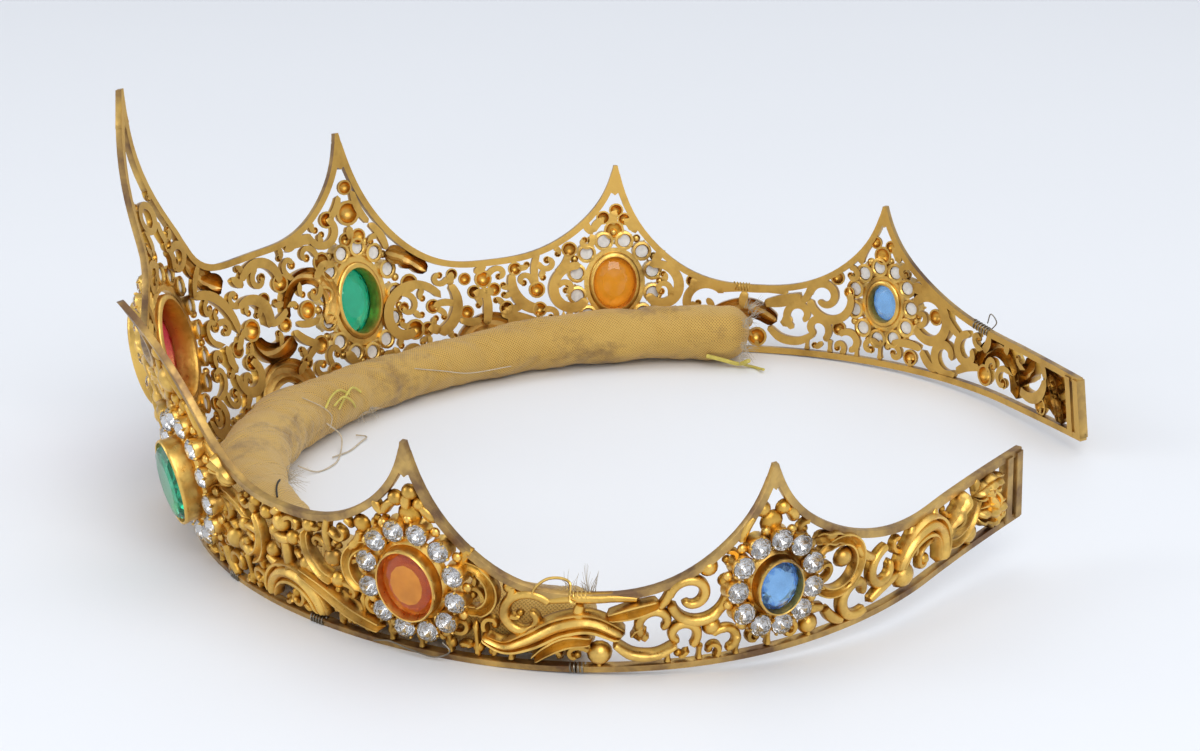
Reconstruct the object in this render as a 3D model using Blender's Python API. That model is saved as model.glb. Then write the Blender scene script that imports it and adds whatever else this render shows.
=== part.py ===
"""Statue crown of gilt pierced scrollwork with seven peaks, box-set stones and a padded roll.

The ornament is laid out flat, by distance round the rim (s) and height up the wall (h), both in
millimetres. It is fused there into one sheet and then bent onto the flaring wall of the crown.
The front centre faces -Y, the open back faces +Y, and s is positive along the +X arm.
"""
import bpy
import bmesh
import math
import numpy as np
from mathutils import Matrix, Vector

MM = 0.001

# Driving dimensions, in millimetres and degrees
ARM = 220.0            # rim length from the front centre to each end
SEAM = 129.0           # where the front section meets each wing
SEAM_GAP = 0.3
FRONT_Y = -55.0        # front centre of the base line, before centring
CENTRE = (-0.3, 14.0)  # plan centre of the crown's box, taken as the origin
FLARE = 12.5           # outward lean of the wall at the front
LEVEL = 104.5          # base line lies on the surface up to here
LEVEL_FOOT = 0.3       # below this height on the wall the foot is level
SHEET = 1.0            # thickness of the stamped sheet
LEVEL_ANGLE = 10.0     # faces and edges within this angle are joined
RIM_WIDTH = 1.5
RIM_DEPTH = 1.3
RIDGE = 1.8            # height of a scroll's raised middle
JEWEL_GAP = 0.3
WELD = 0.015           # corners this close are made one
BEND_STEP = 16.0       # level faces are joined only within this stretch of rim
SIDES = 12             # round an oval setting
SCROLL_STEP = 64.0     # degrees turned by each straight of a scroll
SHOULDER = 0.8         # height of a ridged stroke's edges
BALL_SIDES = 6
BALL_TOP = 1.9
BALL_FLAT = 0.8        # share of a ball's radius left at its top
RIM_STEPS = 6          # straights in each sweep of the top rim
LOW_STEPS = 4          # straights in its level end
SWEEP_CROWD = 1.5      # crowds the sweep's steps toward the tip
BASE_STEPS = 19
SEAM_REACH = 0.4       # overlap of neighbouring rim runs

# Plan of the arms: rim distance, then heading of the rim on the +X arm and on the -X arm
HEADINGS = (
    (0.0, 0.0, 0.0),
    (27.5, 20.4, 20.3),
    (55.0, 39.4, 39.2),
    (82.5, 57.4, 56.5),
    (110.0, 77.0, 74.0),
    (137.5, 101.8, 94.8),
    (165.0, 132.3, 120.4),
    (192.5, 155.0, 143.0),
    (220.0, 148.0, 146.0),
)
# Loss of flare along each arm, and lift of each arm's end off the surface: +X arm, -X arm
FLARE_LOSS = (13.4, 19.2)
END_LIFT = (8.2, 2.6)

# Peaks: rim distance, height, exponent of the sweep before and after the peak
PEAKS = (
    (0.0, 70.3, 4.6, 4.6),
    (51.2, 49.8, 3.5, 3.1),
    (104.8, 37.6, 3.0, 3.0),
    (158.0, 32.3, 3.0, 2.9),
)
# Wave of the front spire, and outward bend of the green peak on the +X arm: depth, foot, half width
SPIRE_WAVE, SPIRE_FOOT, SPIRE_HALF = 2.2, 38.0, 14.0
BENT_TIP, BENT_FOOT, BENT_HALF = 5.2, 28.0, 14.0
# Low points of the top rim after each peak: rim distance, height
LOWS = ((29.0, 31.0), (80.0, 19.9), (132.0, 13.3), (197.0, 12.9))
TIP_HALF = 0.8
END_HEIGHT = 12.3

# Scrolls: centre s and h, first and last radius, first and last angle, first and last width, end bulb
SCROLLS = (
    (0.0, 46.6, 2.4, 2.4, 100, -100, 1.3, 1.3, 0.0),
    (6.0, 37.0, 2.9, 1.5, 160, -160, 1.4, 1.2, 1.2),
    (9.6, 17.6, 11.0, 10.8, 92, 2, 1.6, 1.6, 0.0),
    (5.6, 7.2, 4.2, 2.0, 175, 430, 1.6, 1.6, 1.5),
    (20.4, 10.6, 4.4, 2.0, 165, 425, 1.7, 1.7, 1.7),
    (28.5, 24.6, 5.6, 4.3, 152, 0, 1.7, 1.5, 1.8),
    (24.3, 19.0, 4.6, 4.5, 125, -25, 1.4, 2.2, 0.0),
    (29.4, 17.6, 5.4, 5.6, 192, 322, 2.2, 3.0, 0.0),
    (39.1, 18.6, 6.2, 5.4, 195, -52, 1.4, 3.0, 0.0),
    (38.6, 22.6, 7.2, 7.2, 238, 292, 1.2, 1.2, 0.0),
    (45.3, 32.2, 3.7, 1.9, 185, 420, 1.3, 1.3, 1.6),
    (61.6, 11.4, 7.8, 2.4, 22, 290, 1.5, 2.0, 2.0),
    (66.5, 13.2, 5.8, 5.6, -80, 42, 2.2, 1.4, 0.0),
    (89.8, 15.6, 6.2, 6.0, 160, 262, 1.4, 2.2, 1.5),
    (96.2, 12.8, 5.2, 2.8, 72, 325, 1.6, 1.8, 0.0),
    (112.8, 12.6, 5.2, 2.2, 112, -155, 1.6, 1.8, 0.0),
    (121.6, 9.4, 4.6, 1.0, 30, 420, 1.6, 1.2, 0.0),
    (141.0, 8.2, 3.0, 1.2, 250, -60, 1.4, 1.2, 0.0),
    (146.0, 12.4, 3.2, 1.2, 185, -150, 1.5, 1.2, 0.0),
    (147.4, 12.2, 4.4, 4.2, 185, 385, 1.6, 1.4, 1.1),
    (144.8, 5.8, 2.7, 1.0, -60, 260, 1.4, 1.2, 0.0),
    (151.6, 3.6, 2.6, 1.2, 150, -90, 1.3, 1.2, 0.0),
    (170.2, 11.6, 4.6, 4.2, 152, -150, 1.8, 1.8, 0.0),
    (174.8, 5.2, 3.9, 1.2, -50, -385, 1.7, 1.4, 0.0),
    (180.8, 7.4, 3.6, 1.2, 80, 400, 1.6, 1.3, 0.0),
    (190.4, 4.2, 6.2, 6.4, 172, -22, 2.2, 2.8, 0.0),
    (201.4, 9.8, 6.2, 6.2, 236, 352, 1.8, 1.8, 0.0),
)
# Grooved arches that stand on the base rim: centre s, radius, width
ARCHES = ((29.2, 6.8, 3.0), (78.5, 6.4, 2.8), (130.0, 7.4, 2.8))
ARCH_FOOT = 1.6
# Balls of the relief: s, h, radius
BALLS = (
    (3.4, 40.4, 1.4), (18.5, 15.8, 1.7), (23.6, 18.0, 2.2), (28.3, 22.6, 1.4), (32.2, 16.7, 1.5),
    (35.9, 8.4, 1.4), (15.6, 4.0, 1.7), (38.3, 18.0, 2.0), (43.5, 26.2, 2.0), (51.1, 34.2, 2.5),
    (51.2, 39.2, 1.5), (49.8, 29.2, 1.5), (52.6, 29.4, 1.6), (40.1, 10.8, 1.9), (42.6, 5.0, 1.7),
    (62.2, 18.4, 1.9), (66.8, 13.0, 1.5), (65.2, 8.8, 1.5), (71.4, 18.7, 1.2), (74.0, 17.4, 1.3),
    (73.9, 10.7, 1.5), (77.8, 16.9, 1.8), (75.7, 14.6, 1.4), (79.9, 14.6, 1.4), (82.2, 10.6, 1.5),
    (84.4, 18.2, 1.4), (88.6, 13.6, 1.7), (95.4, 21.2, 1.6), (104.2, 24.6, 2.0), (102.2, 27.2, 1.4),
    (104.7, 28.6, 1.4), (107.0, 26.6, 1.4), (119.4, 14.2, 1.3), (132.5, 3.2, 2.0), (148.6, 16.6, 1.5),
    (149.4, 6.4, 1.5), (158.2, 22.4, 1.9), (156.6, 24.8, 1.3), (160.0, 24.4, 1.3), (165.8, 3.0, 1.7),
    (171.8, 12.4, 1.7), (169.0, 17.2, 1.5), (186.2, 4.0, 2.2), (205.6, 3.0, 1.9),
)
# Straight leaves and links: first s and h, last s and h, first and last width
LINKS = (
    (2.9, 45.4, 3.4, 40.4, 1.3, 1.3), (3.0, 39.8, 4.0, 35.4, 1.3, 1.6),
    (9.0, 37.6, 20.0, 30.4, 2.2, 3.2), (9.8, 28.2, 12.6, 34.0, 1.3, 1.5),
    (16.0, 17.4, 16.8, 11.8, 2.0, 1.5), (20.4, 17.6, 23.0, 18.0, 1.4, 1.4),
    (21.5, 28.9, 24.4, 26.6, 1.4, 1.4), (35.5, 30.2, 42.6, 31.0, 1.6, 2.0),
    (28.6, 17.6, 33.4, 19.6, 1.3, 1.3), (28.4, 22.6, 28.4, 18.0, 1.2, 1.6),
    (52.6, 38.4, 55.3, 31.5, 1.3, 1.3), (55.3, 31.5, 58.4, 25.6, 1.3, 1.4),
    (51.2, 31.8, 51.2, 29.0, 1.4, 1.4), (58.0, 25.2, 66.4, 20.0, 3.0, 2.0),
    (34.0, 15.0, 40.0, 11.0, 1.6, 1.4), (49.6, 38.0, 47.0, 34.0, 1.2, 1.4),
    (72.2, 9.6, 77.0, 9.0, 1.4, 1.4), (77.8, 15.4, 77.8, 7.6, 1.4, 1.8),
    (76.0, 18.4, 78.4, 20.0, 1.4, 1.4), (88.6, 14.4, 89.2, 21.2, 1.3, 1.3),
    (92.4, 16.4, 95.2, 20.4, 1.4, 1.4), (112.0, 17.0, 114.2, 20.6, 1.6, 1.4),
    (118.0, 10.6, 119.8, 15.0, 1.4, 1.4), (100.0, 24.2, 102.4, 27.0, 1.4, 1.4),
    (108.4, 23.8, 106.4, 26.8, 1.4, 1.4), (124.4, 12.4, 138.6, 12.6, 1.4, 1.4),
    (130.0, 12.4, 130.0, 8.6, 1.6, 1.6), (137.6, 5.6, 139.6, 7.4, 2.0, 1.6),
    (141.0, 10.6, 143.0, 14.4, 1.3, 1.3), (160.6, 24.6, 163.6, 21.6, 1.3, 1.6),
    (155.4, 24.4, 153.4, 19.8, 1.3, 1.4), (161.0, 5.0, 168.4, 5.2, 1.4, 1.6),
    (168.4, 5.2, 172.6, 1.4, 1.6, 1.5), (165.4, 17.4, 172.6, 15.2, 2.2, 1.6),
    (174.0, 14.0, 178.6, 10.0, 1.5, 1.5), (177.6, 2.6, 184.6, 5.0, 1.6, 1.6),
    (185.4, 8.6, 187.6, 12.4, 1.6, 1.6), (193.4, 9.8, 194.6, 12.4, 1.6, 1.6),
    (196.6, 5.4, 203.6, 11.4, 1.8, 3.2), (206.4, 9.0, 214.6, 8.6, 2.6, 2.4),
    (206.8, 6.0, 215.6, 4.4, 3.0, 2.6), (209.0, 10.4, 212.6, 1.2, 2.4, 2.6),
    (207.6, 8.6, 206.0, 12.2, 1.6, 1.4), (52.2, 2.4, 46.0, 8.0, 1.4, 2.0),
    (57.4, 6.6, 60.4, 1.2, 1.6, 1.4), (16.0, 4.6, 18.4, 7.2, 1.4, 1.6),
    (18.5, 15.8, 20.6, 18.2, 1.4, 1.4), (71.1, 16.4, 71.6, 19.2, 1.3, 1.3),
    (68.0, 7.6, 65.2, 8.8, 1.8, 1.6), (36.0, 8.4, 40.1, 10.8, 1.3, 1.3),
    (36.0, 8.4, 33.2, 6.6, 1.3, 1.3), (43.5, 26.2, 41.4, 23.6, 1.4, 1.6),
    (43.5, 26.2, 46.8, 25.4, 1.3, 1.3), (66.8, 13.0, 72.0, 12.6, 1.2, 1.3),
    (75.6, 14.6, 80.0, 14.6, 1.6, 1.6), (82.2, 10.6, 82.8, 6.4, 1.3, 1.3),
    (82.2, 10.6, 85.6, 10.8, 1.3, 1.3), (100.2, 24.0, 98.6, 27.4, 1.3, 1.3),
    (104.6, 28.6, 104.3, 25.6, 1.4, 1.5), (106.8, 26.6, 109.8, 25.4, 1.3, 1.3),
)
# Posts that join the ornament to the base rim: s, height
POSTS = (
    (4.0, 3.4), (10.6, 5.2), (15.6, 3.0), (42.4, 4.0), (48.6, 5.6), (53.4, 5.6), (65.4, 8.0), (88.6, 9.0),
    (93.8, 9.0), (98.6, 5.6), (104.0, 4.4), (109.0, 5.6), (113.6, 8.0), (119.0, 6.0), (132.5, 2.4), (142.8, 4.2),
    (147.6, 4.0), (153.4, 3.0), (158.6, 5.4), (165.8, 2.6), (205.6, 2.6),
)
POST_WIDTH = 1.5

# Jewels: name, s, h, setting half width and half height, setting top, halo half width and half
# height, rhinestones in the halo, stone colour
JEWELS = (
    ("red", 0.0, 22.2, 7.8, 10.2, 6.4, 11.6, 13.8, 17, (0.55, 0.0, 0.06)),
    ("green", 51.2, 17.0, 5.5, 7.6, 5.6, 8.4, 10.4, 13, (0.0, 0.32, 0.14)),
    ("orange", 104.2, 13.9, 5.2, 6.3, 5.4, 7.9, 8.8, 12, (0.75, 0.22, 0.02)),
    ("blue", 158.6, 12.7, 4.0, 4.8, 5.0, 6.6, 7.3, 11, (0.05, 0.22, 0.65)),
)
WALL_OF_SETTING = 0.7
LEDGE = 1.2
SEAT = 2.2             # depth of a stone's ledge under the setting's edge
PLATE = 0.8            # margin of the plate that carries a halo
GIRDLE = (0.8, 1.5)    # heights of a stone's girdle over its ledge
TABLE = (0.74, 0.5)    # share of a stone left at its table, and its height over the setting
HALO_SHARE = 0.6       # share of a rhinestone left at its table
HALO_BACK = 1.35
HALO_GIRDLE = 2.5
HALO_TABLE = 3.2
HALO_STONE = 2.1

# Padded roll inside the base: rim distance (negative on the -X arm), thickness
ROLL = (
    (-132.0, 9.0), (-128.0, 12.0), (-100.0, 11.8), (-60.0, 10.6), (0.0, 10.6),
    (60.0, 10.6), (100.0, 10.2), (128.0, 10.2), (132.0, 8.0),
)
ROLL_CLEAR = -0.6      # the roll leans out into the flare of the wall
ROLL_STEP = 11.0
ROLL_SIDES = 8
ROLL_END_SHARE = 0.62  # share of the roll's thickness left at its gathered ends
ROLL_LIFT = 0.2        # clearance of the roll over the level of the foot

# Double bar at each end: centre s of each bar, width
END_BARS = (216.4, 219.2)
END_BAR_WIDTH = 1.7
END_BAR_FOOT = 0.6
END_BAR_BACK, END_BAR_FRONT = -0.3, 1.6


def plan_table(column):
    """Plan points and headings of one arm at every half millimetre of rim."""
    s = np.arange(0.0, ARM + 1.0, 0.5)
    rows = np.array(HEADINGS)
    heading = np.radians(np.interp(s, rows[:, 0], rows[:, column]))
    middle = (heading[1:] + heading[:-1]) / 2
    x = np.concatenate([[0.0], np.cumsum(np.cos(middle)) * 0.5])
    y = np.concatenate([[0.0], np.cumsum(np.sin(middle)) * 0.5]) + FRONT_Y
    return s, x, y, heading


PLANS = {1: plan_table(1), -1: plan_table(2)}


def wall_frame(s):
    """Base point, rim direction, outward and up-the-wall directions at rim distance s, in mm."""
    side = 1 if s >= 0 else -1
    arm = 0 if side > 0 else 1
    run = abs(s)
    table_s, table_x, table_y, table_heading = PLANS[side]
    x = np.interp(run, table_s, table_x)
    y = np.interp(run, table_s, table_y)
    heading = np.interp(run, table_s, table_heading)
    lean = math.radians(FLARE - FLARE_LOSS[arm] * (run / ARM) ** 2)
    lift = END_LIFT[arm] * (max(run - LEVEL, 0.0) / (ARM - LEVEL)) ** 2
    normal = Vector((side * math.sin(heading), -math.cos(heading), 0.0))
    along = Vector((math.cos(heading), side * math.sin(heading), 0.0))
    base = Vector((side * x - CENTRE[0], y - CENTRE[1], lift))
    outward = normal * math.cos(lean) - Vector((0, 0, math.sin(lean)))
    upward = normal * math.sin(lean) + Vector((0, 0, math.cos(lean)))
    return base, along, outward, upward


def wall_point(s, h, out):
    """Point of the wall at rim distance s, height h and depth out, in mm; the foot is level."""
    base, along, outward, upward = wall_frame(s)
    point = base + upward * h + outward * (out + bent(s, h))
    if h < LEVEL_FOOT or point.z < base.z:
        point.z = base.z
    return point


def bent(s, h):
    """Outward bend of the sheet at the wavy front spire and at the green peak of the +X arm."""
    depth = 0.0
    if abs(s) < SPIRE_HALF and h > SPIRE_FOOT:
        part = (h - SPIRE_FOOT) / (PEAKS[0][1] - SPIRE_FOOT)
        depth += SPIRE_WAVE * math.sin(math.pi * min(part, 1.0)) * (1 - (s / SPIRE_HALF) ** 2)
    if abs(s - PEAKS[1][0]) < BENT_HALF and h > BENT_FOOT:
        part = (h - BENT_FOOT) / (PEAKS[1][1] - BENT_FOOT)
        depth += BENT_TIP * part ** 2 * (1 - ((s - PEAKS[1][0]) / BENT_HALF) ** 2)
    return depth


def top_edge(s):
    """Height of the top rim at distance s from the front centre."""
    for (tip, height, before, after), (low, low_height) in zip(PEAKS, LOWS):
        if s <= low:
            return sweep(s, tip, height, low, low_height, after)
        following = next((p for p in PEAKS if p[0] > low), None)
        if following and s <= following[0]:
            return sweep(s, following[0], following[1], low, low_height, following[2])
    return LOWS[-1][1] + (END_HEIGHT - LOWS[-1][1]) * (s - LOWS[-1][0]) / (ARM - LOWS[-1][0])


def sweep(s, tip, height, low, low_height, power):
    """Concave sweep of the rim from a low point up to a blunt tip."""
    reach = abs(tip - low) - TIP_HALF
    part = min(abs(s - low) / reach, 1.0)
    return low_height + (height - low_height) * part ** power


def under_jewel(s, h, margin):
    """True where the relief has to stay low because a jewel's halo lies over it."""
    for name, js, jh, half, tall, top, halo_half, halo_tall, count, colour in JEWELS:
        wide = halo_half + HALO_STONE + margin
        high = halo_tall + HALO_STONE + margin
        if ((abs(s) - js) / wide) ** 2 + ((h - jh) / high) ** 2 < 1:
            return True
    return False


def loft(bm, rings, loop=False):
    """Skin a run of equal rings, closed on itself or capped at both ends."""
    made = [[bm.verts.new(p) for p in ring] for ring in rings]
    following = made[1:] + made[:1] if loop else made[1:]
    for first, second in zip(made, following):
        for i in range(len(first)):
            j = (i + 1) % len(first)
            bm.faces.new((first[i], first[j], second[j], second[i]))
    if not loop:
        bm.faces.new(made[0][::-1])
        bm.faces.new(made[-1])


def ribbon(bm, path, ridge=RIDGE, back=0.0):
    """Flat stroke with a raised middle, along a path of (s, h, width)."""
    rings = []
    for i, (s, h, width) in enumerate(path):
        before = path[max(i - 1, 0)]
        after = path[min(i + 1, len(path) - 1)]
        ds, dh = after[0] - before[0], after[1] - before[1]
        length = math.hypot(ds, dh)
        ns, nh = -dh / length * width / 2, ds / length * width / 2
        crest = SHEET if under_jewel(s, h, width / 2) else ridge
        ring = [(s + ns, h + nh, back), (s - ns, h - nh, back)]
        if ridge > SHEET:
            ring += [(s - ns, h - nh, SHOULDER), (s, h, crest), (s + ns, h + nh, SHOULDER)]
        else:
            ring += [(s - ns, h - nh, ridge), (s + ns, h + nh, ridge)]
        rings.append(ring)
    loft(bm, rings)


def spiral(row):
    """Path of a scroll in short straights."""
    cs, ch, first_r, last_r, first_a, last_a, first_w, last_w, bulb = row
    steps = max(3, round(abs(last_a - first_a) / SCROLL_STEP))
    path = []
    for i in range(steps + 1):
        part = i / steps
        angle = math.radians(first_a + (last_a - first_a) * part)
        radius = first_r + (last_r - first_r) * part
        width = first_w + (last_w - first_w) * part
        path.append((cs + radius * math.cos(angle), ch + radius * math.sin(angle), width))
    return path


def ball(bm, s, h, radius):
    """Low dome of the relief, a flat disc where a jewel lies over it."""
    top = (radius, SHEET) if under_jewel(s, h, radius) else (radius * BALL_FLAT, BALL_TOP)
    loft(bm, [oval(s, h, size, size, out, BALL_SIDES) for size, out in ((radius, 0.0), top)])


def oval(cs, ch, half, tall, out, sides=SIDES):
    """Ring of points round an oval."""
    ring = []
    for i in range(sides):
        angle = 2 * math.pi * (i + 0.5) / sides
        ring.append((cs + half * math.cos(angle), ch + tall * math.sin(angle), out))
    return ring


def strip(bm, outer, inner, back, front):
    """Flat strip between two edges, each a list of (s, h)."""
    rings = []
    for (s0, h0), (s1, h1) in zip(outer, inner):
        rings.append([(s0, h0, back), (s1, h1, back), (s1, h1, front), (s0, h0, front)])
    loft(bm, rings)


def top_rim(bm):
    """Top rim, one strip for each run between a tip and a low point."""
    stops = []
    for (tip, height, before, after), (low, low_height) in zip(PEAKS, LOWS):
        stops += [tip, low]
    end = ARM + SEAM_REACH / 2
    runs = list(zip(stops, stops[1:])) + [(stops[-1], end)]
    for first, last in runs:
        rising = last in [p[0] for p in PEAKS]
        falling = first in [p[0] for p in PEAKS]
        start = first + TIP_HALF if falling else first - SEAM_REACH
        stop = last - TIP_HALF if rising else min(last + SEAM_REACH, end)
        steps = RIM_STEPS if rising or falling else LOW_STEPS
        outer, inner = [], []
        for i in range(steps + 1):
            part = i / steps
            if rising:
                part = 1 - (1 - part) ** SWEEP_CROWD
            if falling:
                part = part ** SWEEP_CROWD
            s = start + (stop - start) * part
            slope = (top_edge(min(s + 0.2, stop)) - top_edge(max(s - 0.2, start))) / 0.4
            size = math.hypot(1, slope)
            h = top_edge(s)
            inner_s = s + slope / size * RIM_WIDTH
            if rising:
                inner_s = min(inner_s, last + 0.5)
            if falling:
                inner_s = max(inner_s, first - 0.5)
            outer.append((s, h))
            inner.append((inner_s, h - RIM_WIDTH / size))
        strip(bm, outer, inner, 0.0, RIM_DEPTH)


def base_rim(bm):
    """Base rim, with a level foot, cut square across at the front centre."""
    step = (ARM + SEAM_REACH / 2) / BASE_STEPS
    outer = [(step * i, RIM_WIDTH) for i in range(-1, BASE_STEPS + 1)]
    inner = [(s, 0.0) for s, h in outer]
    strip(bm, outer, inner, -0.2, RIM_DEPTH)


def end_bars(bm):
    """Double bar that closes each arm."""
    for s in END_BARS:
        half = END_BAR_WIDTH / 2
        outer = [(s - half, END_BAR_FOOT), (s - half, END_HEIGHT - END_BAR_FOOT)]
        inner = [(s + half, END_BAR_FOOT), (s + half, END_HEIGHT - END_BAR_FOOT)]
        strip(bm, outer, inner, END_BAR_BACK, END_BAR_FRONT)


def flat_object(name, bm):
    """Object of a flat bmesh, with its faces pointing out."""
    bmesh.ops.recalc_face_normals(bm, faces=bm.faces)
    mesh = bpy.data.meshes.new(name)
    bm.to_mesh(mesh)
    bm.free()
    made = bpy.data.objects.new(name, mesh)
    bpy.context.scene.collection.objects.link(made)
    made.hide_render = True
    made.display_type = 'WIRE'
    return made


def cut(target, tool, operation, own=False):
    """Exact Boolean of two flat objects, applied to the first."""
    change = target.modifiers.new("cut", 'BOOLEAN')
    change.solver = 'EXACT'
    change.operation = operation
    change.use_self = own
    change.object = tool
    seen = target.evaluated_get(bpy.context.evaluated_depsgraph_get())
    mesh = bpy.data.meshes.new_from_object(seen)
    target.modifiers.clear()
    target.data = mesh
    bpy.data.objects.remove(tool)


def flat_sheet():
    """One arm's whole openwork, fused into one flat sheet."""
    rims = bmesh.new()
    top_rim(rims)
    base_rim(rims)
    end_bars(rims)
    ornament = bmesh.new()
    for row in SCROLLS:
        path = spiral(row)
        ribbon(ornament, path, ridge=SHEET)
        if row[8]:
            ball(ornament, path[-1][0], path[-1][1], row[8])
    for centre, radius, width in ARCHES:
        ribbon(ornament, spiral((centre, ARCH_FOOT, radius, radius, 176, 4, width, width, 0)))
    for s, h, radius in BALLS:
        ball(ornament, s, h, radius)
    for s0, h0, s1, h1, w0, w1 in LINKS:
        ribbon(ornament, [(s0, h0, w0), (s1, h1, w1)], ridge=SHEET)
    for s, h in POSTS:
        ribbon(ornament, [(s, 0.7, POST_WIDTH), (s, h, POST_WIDTH)], ridge=SHEET)
    for name, s, h, half, tall, top, halo_half, halo_tall, count, colour in JEWELS:
        loft(ornament, [oval(s, h, halo_half + PLATE, halo_tall + PLATE, out) for out in (0.0, SHEET)])
    sheet = flat_object("rims", rims)
    cut(sheet, flat_object("ornament", ornament), 'UNION', own=True)
    holes = bmesh.new()
    for name, s, h, half, tall, top, halo_half, halo_tall, count, colour in JEWELS:
        edge = WALL_OF_SETTING + LEDGE
        loft(holes, [oval(s, h, half - edge, tall - edge, -1.0), oval(s, h, half - edge, tall - edge, 3.0)])
    cut(sheet, flat_object("holes", holes), 'DIFFERENCE')
    return sheet


def tidy_sheet(sheet):
    """Join level faces again inside each short stretch of rim, so that bending stays smooth."""
    bm = bmesh.new()
    bm.from_mesh(sheet.data)
    for face in bm.faces:
        face.material_index = int(face.calc_center_median().x // BEND_STEP) + 2
    bmesh.ops.dissolve_limit(
        bm, angle_limit=math.radians(LEVEL_ANGLE), verts=bm.verts, edges=bm.edges,
        use_dissolve_boundaries=False, delimit={'MATERIAL'},
    )
    for face in bm.faces:
        face.material_index = 0
    bmesh.ops.triangulate(bm, faces=bm.faces)
    bm.to_mesh(sheet.data)
    bm.free()


def bend(bm):
    """Bend flat geometry onto the wall and turn it from millimetres into metres."""
    for vert in bm.verts:
        vert.co = wall_point(*vert.co) * MM


def material(name, colour, roughness, metallic):
    """Principled material of one finish."""
    made = bpy.data.materials.new(name)
    made.use_nodes = True
    shader = made.node_tree.nodes["Principled BSDF"]
    shader.inputs["Base Color"].default_value = (*colour, 1.0)
    shader.inputs["Roughness"].default_value = roughness
    shader.inputs["Metallic"].default_value = metallic
    return made


def add(name, bm, finish, smooth=None):
    """Named object of a finished bmesh, with its faces pointing out."""
    bmesh.ops.recalc_face_normals(bm, faces=bm.faces)
    if bm.calc_volume(signed=True) < 0:
        bmesh.ops.reverse_faces(bm, faces=bm.faces)
    mesh = bpy.data.meshes.new(name)
    bm.to_mesh(mesh)
    bm.free()
    mesh.materials.append(finish)
    if smooth:
        mesh.shade_smooth()
        mesh.set_sharp_from_angle(angle=math.radians(smooth))
    made = bpy.data.objects.new(name, mesh)
    bpy.context.scene.collection.objects.link(made)
    return made


def part_of_sheet(sheet, first, last):
    """Copy of the flat sheet between two rim distances, as a bmesh."""
    copy = bpy.data.objects.new("stretch", sheet.data.copy())
    bpy.context.scene.collection.objects.link(copy)
    box = bmesh.new()
    corners = [(s, h) for s, h in ((first, -5.0), (last, -5.0), (last, 90.0), (first, 90.0))]
    loft(box, [[(s, h, -5.0) for s, h in corners], [(s, h, 9.0) for s, h in corners]])
    cut(copy, flat_object("keep", box), 'INTERSECT')
    bm = bmesh.new()
    bm.from_mesh(copy.data)
    bpy.data.objects.remove(copy)
    bmesh.ops.triangulate(bm, faces=bm.faces)
    return bm


def mirrored(bm):
    """Turn a flat stretch over to the -X arm."""
    for vert in bm.verts:
        vert.co.x = -vert.co.x
    bmesh.ops.reverse_faces(bm, faces=bm.faces)


def front_section(sheet, gilt):
    """Front section: one half, halved at the centre line, and its mirror image."""
    bm = part_of_sheet(sheet, -30.0, SEAM - SEAM_GAP / 2)
    bmesh.ops.remove_doubles(bm, verts=bm.verts, dist=WELD)
    everything = bm.verts[:] + bm.edges[:] + bm.faces[:]
    bmesh.ops.bisect_plane(
        bm, geom=everything, dist=1e-5, plane_co=(0, 0, 0), plane_no=(1, 0, 0), clear_inner=True,
    )
    for vert in bm.verts:
        if abs(vert.co.x) < 1e-4:
            vert.co.x = 0.0
    half = bm.verts[:] + bm.edges[:] + bm.faces[:]
    copy = bmesh.ops.duplicate(bm, geom=half)["geom"]
    for item in copy:
        if isinstance(item, bmesh.types.BMVert):
            item.co.x = -item.co.x
    bmesh.ops.reverse_faces(bm, faces=[f for f in copy if isinstance(f, bmesh.types.BMFace)])
    middle = [vert for vert in bm.verts if vert.co.x == 0.0]
    bmesh.ops.remove_doubles(bm, verts=middle, dist=1e-4)
    bmesh.ops.triangulate(bm, faces=bm.faces)
    bend(bm)
    return add("front_openwork", bm, gilt)


def wings(sheet, gilt):
    """Wing section of each arm."""
    for name, side in (("left_wing_openwork", 1), ("right_wing_openwork", -1)):
        bm = part_of_sheet(sheet, SEAM + SEAM_GAP / 2, ARM + 5)
        if side < 0:
            mirrored(bm)
        bend(bm)
        add(name, bm, gilt)


def jewel_matrix(s, h):
    """Placing of a jewel flat on the wall, with its own x along the rim and z outward."""
    base, along, outward, upward = wall_frame(s)
    point = (base + upward * h) * MM
    turn = Matrix((along, upward, outward)).transposed().to_4x4()
    return Matrix.Translation(point) @ turn @ Matrix.Scale(MM, 4)


def setting(name, place, half, tall, top, finish):
    """Box setting: an oval tube with a ledge inside for the stone."""
    inner = WALL_OF_SETTING
    seat = top - SEAT
    profile = (
        (0.0, HALO_BACK - 0.05), (0.0, top), (inner, top), (inner, seat),
        (inner + LEDGE, seat), (inner + LEDGE, HALO_BACK - 0.05),
    )
    bm = bmesh.new()
    loft(bm, [oval(0, 0, half - inset, tall - inset, out) for inset, out in profile], loop=True)
    bm.transform(place)
    add(name, bm, finish, 40)


def stone(name, place, half, tall, top, finish):
    """Cut stone: table, crown facets, girdle and pavilion facets."""
    inset = WALL_OF_SETTING + JEWEL_GAP
    wide, high = half - inset, tall - inset
    seat = top - SEAT
    slim = (half - WALL_OF_SETTING - LEDGE - JEWEL_GAP) / wide
    girdle = [(1.0, seat + height) for height in GIRDLE]
    levels = [(slim, seat + 0.1), *girdle, (TABLE[0], top + TABLE[1])]
    bm = bmesh.new()
    loft(bm, [oval(0, 0, wide * share, high * share, out) for share, out in levels])
    bm.transform(place)
    add(name, bm, finish)


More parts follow.
